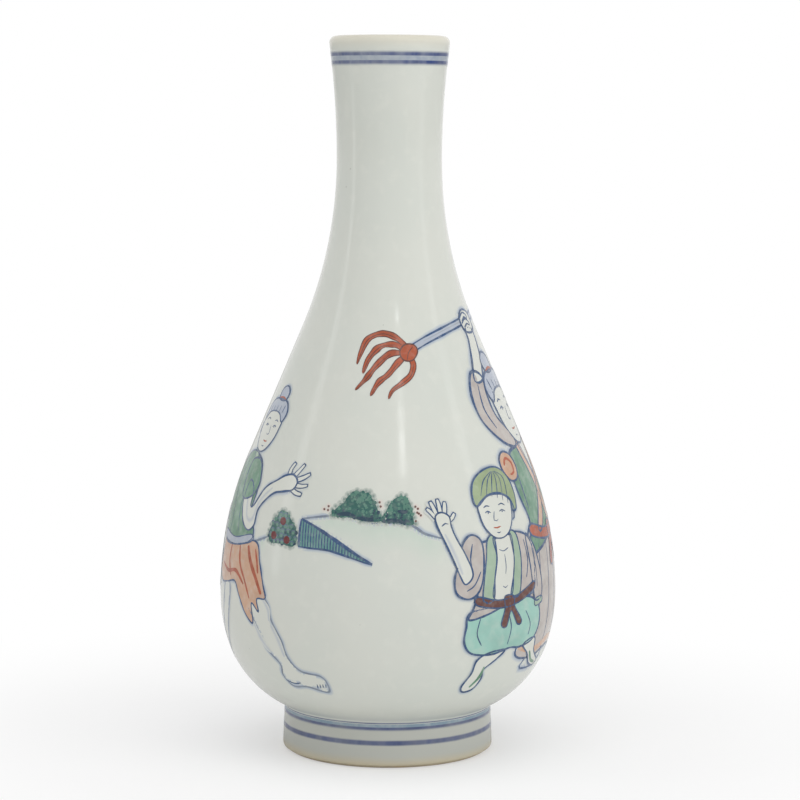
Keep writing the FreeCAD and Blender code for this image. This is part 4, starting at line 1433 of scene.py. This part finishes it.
def shrubs(painter):
    """Two round shrubs on the hill, with berries beside them."""
    painter.place(-12.0, 0.0)
    leaves(painter, pairs(
        -7, 79, -5.6, 81.2, -3.4, 82.8, -2.2, 84.8, 0.6, 86, 3.6, 85.5, 5.7, 83.2, 7, 80.6, 8, 77.9,
        3, 77.8, -2, 78.8), 3)
    leaves(painter, pairs(
        8.4, 77.7, 9.2, 80.4, 10.2, 82.8, 11.8, 84.4, 13.6, 84.9, 15.6, 83.8, 16.8, 81.4, 17.4, 78.8,
        17.4, 76.7, 13, 77.3), 5)
    for line in (pairs(-5.4, 79.4, -2.2, 79.7, 0.4, 79.1), pairs(0.6, 78.7, 3.4, 78.4, 5.8, 78),
                 pairs(9.4, 78.2, 12.6, 78, 15, 77.4), pairs(12.6, 80.8, 14.2, 80.4, 15.6, 80.6)):
        painter.stroke("foliage_deep", line, 1.1, 6)
    berries(painter, pairs(
        -9.4, 80.7, -8.1, 81.6, -8.2, 80.5, 7.2, 83.2, 7.6, 82, 17.8, 81.9, 18.6, 81.3, 18.5, 80.2,
        19.6, 79.4, 18.2, 77.8, 19, 79.9))


def tree_top(painter):
    """Four flat, lobed masses of leaves over one another."""
    turns = [k * math.tau / 9 for k in range(9)]
    masses = [(-7.0, 58.0, 8.0, 21), (6.5, 62.0, 8.5, 22), (-1.0, 70.0, 7.5, 23), (10.0, 50.0, 5.5, 24)]
    for x, y, reach, seed in masses:
        lobes = []
        for turn in turns:
            stretch = reach * (1 + 0.12 * math.cos(3 * turn))
            lobes.append((x + stretch * math.cos(turn), y + reach * 0.62 * math.sin(turn)))
        leaves(painter, lobes, seed, 5)


class VASE_OT_landscape(bpy.types.Operator):
    """Hills, shrubs, blossom, fence, rock and tree painted round the belly"""

    bl_idname = "vase.landscape"
    bl_label = "Painted landscape"

    def execute(self, context):
        painter = Painter()
        hill_line(painter, -12.0, pairs(
            -16.8, 77.4, -12.4, 78.2, -7.2, 78.9, -3.1, 78.9, 1.2, 78.2, 5.4, 77.3, 8.9, 77.4, 12.8, 77.3,
            17.5, 76.4, 20.8, 74.3, 25, 73, 30.6, 71.6))
        hill_line(painter, -52.0, pairs(-8, 66.8, -3, 68.4, 1.6, 69.8, 5.4, 71.2), 6.0)
        for turn, rise in ((85.0, 0.0), (128.0, 2.0), (172.0, -1.0), (216.0, 1.5), (258.0, -1.0)):
            hill_line(painter, turn, [(-19.0, 71.0 + rise), (-11.0, 75.4 + rise), (-3.0, 73.6 + rise),
                                      (5.0, 76.8 + rise), (13.0, 74.0 + rise), (19.0, 70.6 - rise)])
        shrubs(painter)
        blossom_bush(painter)
        fence(painter)
        painter.place(3.0, 0.0)
        whisk(painter)
        painter.place(166.0, 40.0)
        painter.draw(TREE)
        tree_top(painter)
        ground = [(ROCK, 230.0, 38.0), (GRASS, 150.0, 40.0), (GRASS, 182.0, 38.0), (GRASS, 222.0, 36.0)]
        for marks, turn, height in ground:
            painter.place(turn, height)
            painter.draw(marks)
        painter.place(228.0, 0.0)
        leaves(painter, pairs(-6, 72, -4, 77, 1, 79.4, 6, 76.6, 7.4, 72), 31)
        berries(painter, pairs(-7.4, 76, -6.6, 77.4, 8.4, 75, 9.2, 76.2))
        lay_out(painter, "landscape")
        return {"FINISHED"}


def dress(robe, trim, sash, skirt, **more):
    """The enamels of a figure's clothes."""
    return {"robe": robe, "trim": trim, "sash": sash, "skirt": skirt, **more}


class VASE_OT_figures(bpy.types.Operator):
    """Robed attendants painted round the belly"""

    bl_idname = "vase.figures"
    bl_label = "Painted figures"

    def execute(self, context):
        painter = Painter()
        front = dress("mauve", "lapel_green", "sash_brown", "turquoise", hat="cap_green")
        bearer = dress("leaf_green", "salmon", "iron_red", "mauve", hat="slate", sleeve="mauve")
        host = dress("turquoise", "iron_red", "sash_brown", "lapel_green", hat="slate")
        guest = dress("salmon", "leaf_green", "iron_red", "leaf_green", hat="cap_green", fan="cap_green")
        elder = dress("mauve", "iron_red", "iron_red", "slate", hat="foliage")
        walker = dress("leaf_green", "lapel_green", "slate", "salmon")
        crossed = [ROBE, CROSSED_FRONT, SASH]
        standing = [LONG_SKIRT, *crossed, JOINED_SLEEVES]
        # Turn, height, size, flip, how far over others, clothes, parts of the figure and its hair or hat
        cast = [
            (76.0, 33.0, 1.4, 1.0, 0, bearer, [LONG_SKIRT, *crossed, HIGH_ARM], BUN),
            (41.0, 25.8, 1.0, 1.0, 16, front, [TROUSERS, ROBE, OPEN_FRONT, SASH, RAISED_ARM], SOFT_CAP),
            (132.0, 28.0, 1.08, 1.0, 0, host, standing, SCHOLAR_CAP),
            (203.0, 27.0, 1.0, -1.0, 0, guest, [TROUSERS, *crossed, JOINED_SLEEVES, FAN], SOFT_CAP),
            (256.0, 28.0, 1.08, -1.0, 0, elder, standing, SCHOLAR_CAP),
        ]
        for turn, height, size, flip, over, worn, parts, hat in cast:
            painter.place(turn, height, size, flip, over)
            for part in parts:
                painter.draw(part, worn)
            neck = height + HEAD_HEIGHT * size
            painter.place(turn + HEAD_TURN * flip, neck, size, flip, over + HEAD_OVER)
            painter.draw([*HEAD, *hat], worn)
        painter.place(-58.0, 25.2)
        painter.draw(WALKER, walker)
        painter.place(-67.0, 100.4, 1.0, -1.0, HEAD_OVER)
        painter.draw([*HEAD, *BUN], walker)
        lay_out(painter, "figures")
        return {"FINISHED"}


# Stage


def floor_finish(white):
    """Pale floor that keeps the shadow near the vase and runs out to white, and is open from below."""
    material, tree, where, _ = start_finish("pale_floor")
    seen = wire(tree, "ShaderNodeLightPath").outputs["Is Camera Ray"]
    fading = product(tree, between(tree, from_axis(tree, where), 0.05, 0.22, 0.45, 1.0), seen)
    shade = [part * 0.99 for part in white]
    tint = blend_tones(tree, grain(tree, where, 30.0), opaque(white), opaque(shade))
    matt = wire(tree, "ShaderNodeBsdfPrincipled", {"Base Color": tint, "Roughness": 0.9})
    matt.inputs["Specular IOR Level"].default_value = 0.1
    glow = wire(tree, "ShaderNodeEmission", {"Color": (1.0, 1.0, 1.0, 1.0), "Strength": 1.0})
    dim = wire(tree, "ShaderNodeBsdfDiffuse", {"Color": opaque(white)})
    matt = wire(tree, "ShaderNodeMixShader", {0: seen, 1: dim.outputs[0], 2: matt.outputs[0]})
    top = wire(tree, "ShaderNodeMixShader", {0: fading, 1: matt.outputs[0], 2: glow.outputs[0]})
    below = wire(tree, "ShaderNodeNewGeometry").outputs["Backfacing"]
    clear = wire(tree, "ShaderNodeBsdfTransparent")
    surface = wire(tree, "ShaderNodeMixShader", {0: below, 1: top.outputs[0], 2: clear.outputs[0]})
    wire(tree, "ShaderNodeOutputMaterial", {"Surface": surface.outputs[0]})
    return material


def softbox(name, place, aim, width, height, watts, mirrored=False):
    """A soft rectangular lamp at a place, turned to an aim. The glaze mirrors only the slim ones."""
    lamp = bpy.data.lights.new(name, "AREA")
    lamp.shape = "RECTANGLE"
    lamp.size = width
    lamp.size_y = height
    lamp.energy = watts
    made = bpy.data.objects.new(name, lamp)
    made.location = place
    made.rotation_euler = (Vector(aim) - Vector(place)).to_track_quat("-Z", "Y").to_euler()
    made.visible_glossy = mirrored
    bpy.context.scene.collection.objects.link(made)


class VASE_OT_stage(bpy.types.Operator):
    """Camera, floor, white surroundings and soft lamps"""

    bl_idname = "vase.stage"
    bl_label = "Stage"

    def execute(self, context):
        scene = context.scene
        scene.view_settings.view_transform = "Standard"
        camera = bpy.data.objects.new("camera", bpy.data.cameras.new("camera"))
        camera.data.lens = 123.76
        camera.data.sensor_width = 36.0
        camera.data.clip_start = 0.01
        place = Matrix.Translation((0.0, -0.8448, 0.198))
        pitch, yaw, roll = (math.radians(angle) for angle in (6.05, -0.24, 0.21))
        turn = Matrix.Rotation(yaw, 4, "Z") @ Matrix.Rotation(math.pi / 2 - pitch, 4, "X")
        camera.matrix_world = place @ turn @ Matrix.Rotation(roll, 4, "Z")
        scene.collection.objects.link(camera)
        scene.camera = camera
        mesh = bpy.data.meshes.new("floor")
        reach, count = 6.0, 64
        turns = [k * math.tau / count for k in range(count)]
        rim = [(reach * math.cos(turn), reach * math.sin(turn), 0) for turn in turns]
        mesh.from_pydata(rim, [], [list(range(count))])
        mesh.materials.append(floor_finish((0.95, 0.95, 0.95)))
        floor = bpy.data.objects.new("floor", mesh)
        floor.location = (0.0, 0.0, -0.00002)
        scene.collection.objects.link(floor)
        softbox("right_softbox", (1.43, -0.83, 0.4), (0, 0, 0.1), 0.9, 1.1, 8.4)
        softbox("left_softbox", (-1.2, -1.1, 0.3), (0, 0, 0.1), 0.6, 0.9, 2.5)
        softbox("top_softbox", (0.0, -0.3, 1.6), (0, 0, 0.0), 1.4, 1.4, 9.9)
        softbox("low_softbox", (0.3, -1.37, 0.12), (0, 0, 0.04), 1.4, 0.2, 1.2)
        softbox("small_window", (0.34, -1.46, 1.25), (0, 0, 0.1), 0.13, 0.02, 0.42, True)
        softbox("left_window", (-1.39, -0.19, 0.6), (0, 0, 0.2), 0.2, 1.2, 1.0, True)
        softbox("right_window", (1.34, -0.41, 0.6), (0, 0, 0.2), 0.2, 1.2, 0.75, True)
        world = bpy.data.worlds.new("white_surroundings")
        world.use_nodes = True
        tree = world.node_tree
        tree.nodes.clear()
        path = wire(tree, "ShaderNodeLightPath").outputs
        seen = number(tree, "MAXIMUM", path["Is Camera Ray"], path["Is Glossy Ray"])
        seen = number(tree, "MAXIMUM", seen, path["Is Transmission Ray"])
        strength = between(tree, seen, 0.0, 1.0, 0.5, 1.0)
        light = wire(tree, "ShaderNodeBackground", {"Color": (1.0, 1.0, 1.0, 1.0), "Strength": strength})
        wire(tree, "ShaderNodeOutputWorld", {"Surface": light.outputs[0]})
        scene.world = world
        return {"FINISHED"}


class VASE_PT_panel(bpy.types.Panel):
    """Lists the making of the vase, its sizes and its colours"""

    bl_idname = "VASE_PT_panel"
    bl_label = "Porcelain vase"
    bl_space_type = "VIEW_3D"
    bl_region_type = "UI"
    bl_category = "Vase"

    def draw(self, context):
        for made in OPERATORS:
            self.layout.operator(made.bl_idname)
        for group in (context.scene.vase_sizes, context.scene.vase_colours):
            box = self.layout.box()
            for name in group.bl_rna.properties.keys():
                if name not in ("rna_type", "name"):
                    box.prop(group, name)


OPERATORS = (VASE_OT_stage, VASE_OT_body, VASE_OT_glaze, VASE_OT_lines, VASE_OT_landscape, VASE_OT_figures)
CLASSES = (VaseSizes, VaseColours, *OPERATORS, VASE_PT_panel)


def register():
    for made in CLASSES:
        bpy.utils.register_class(made)
    bpy.types.Scene.vase_sizes = bpy.props.PointerProperty(type=VaseSizes)
    bpy.types.Scene.vase_colours = bpy.props.PointerProperty(type=VaseColours)


def unregister():
    del bpy.types.Scene.vase_colours
    del bpy.types.Scene.vase_sizes
    for made in reversed(CLASSES):
        bpy.utils.unregister_class(made)


def main():
    register()
    bpy.ops.vase.stage()
    bpy.ops.vase.body()
    bpy.ops.vase.glaze()
    bpy.ops.vase.lines()
    bpy.ops.vase.landscape()
    bpy.ops.vase.figures()


if __name__ == "__main__":
    main()
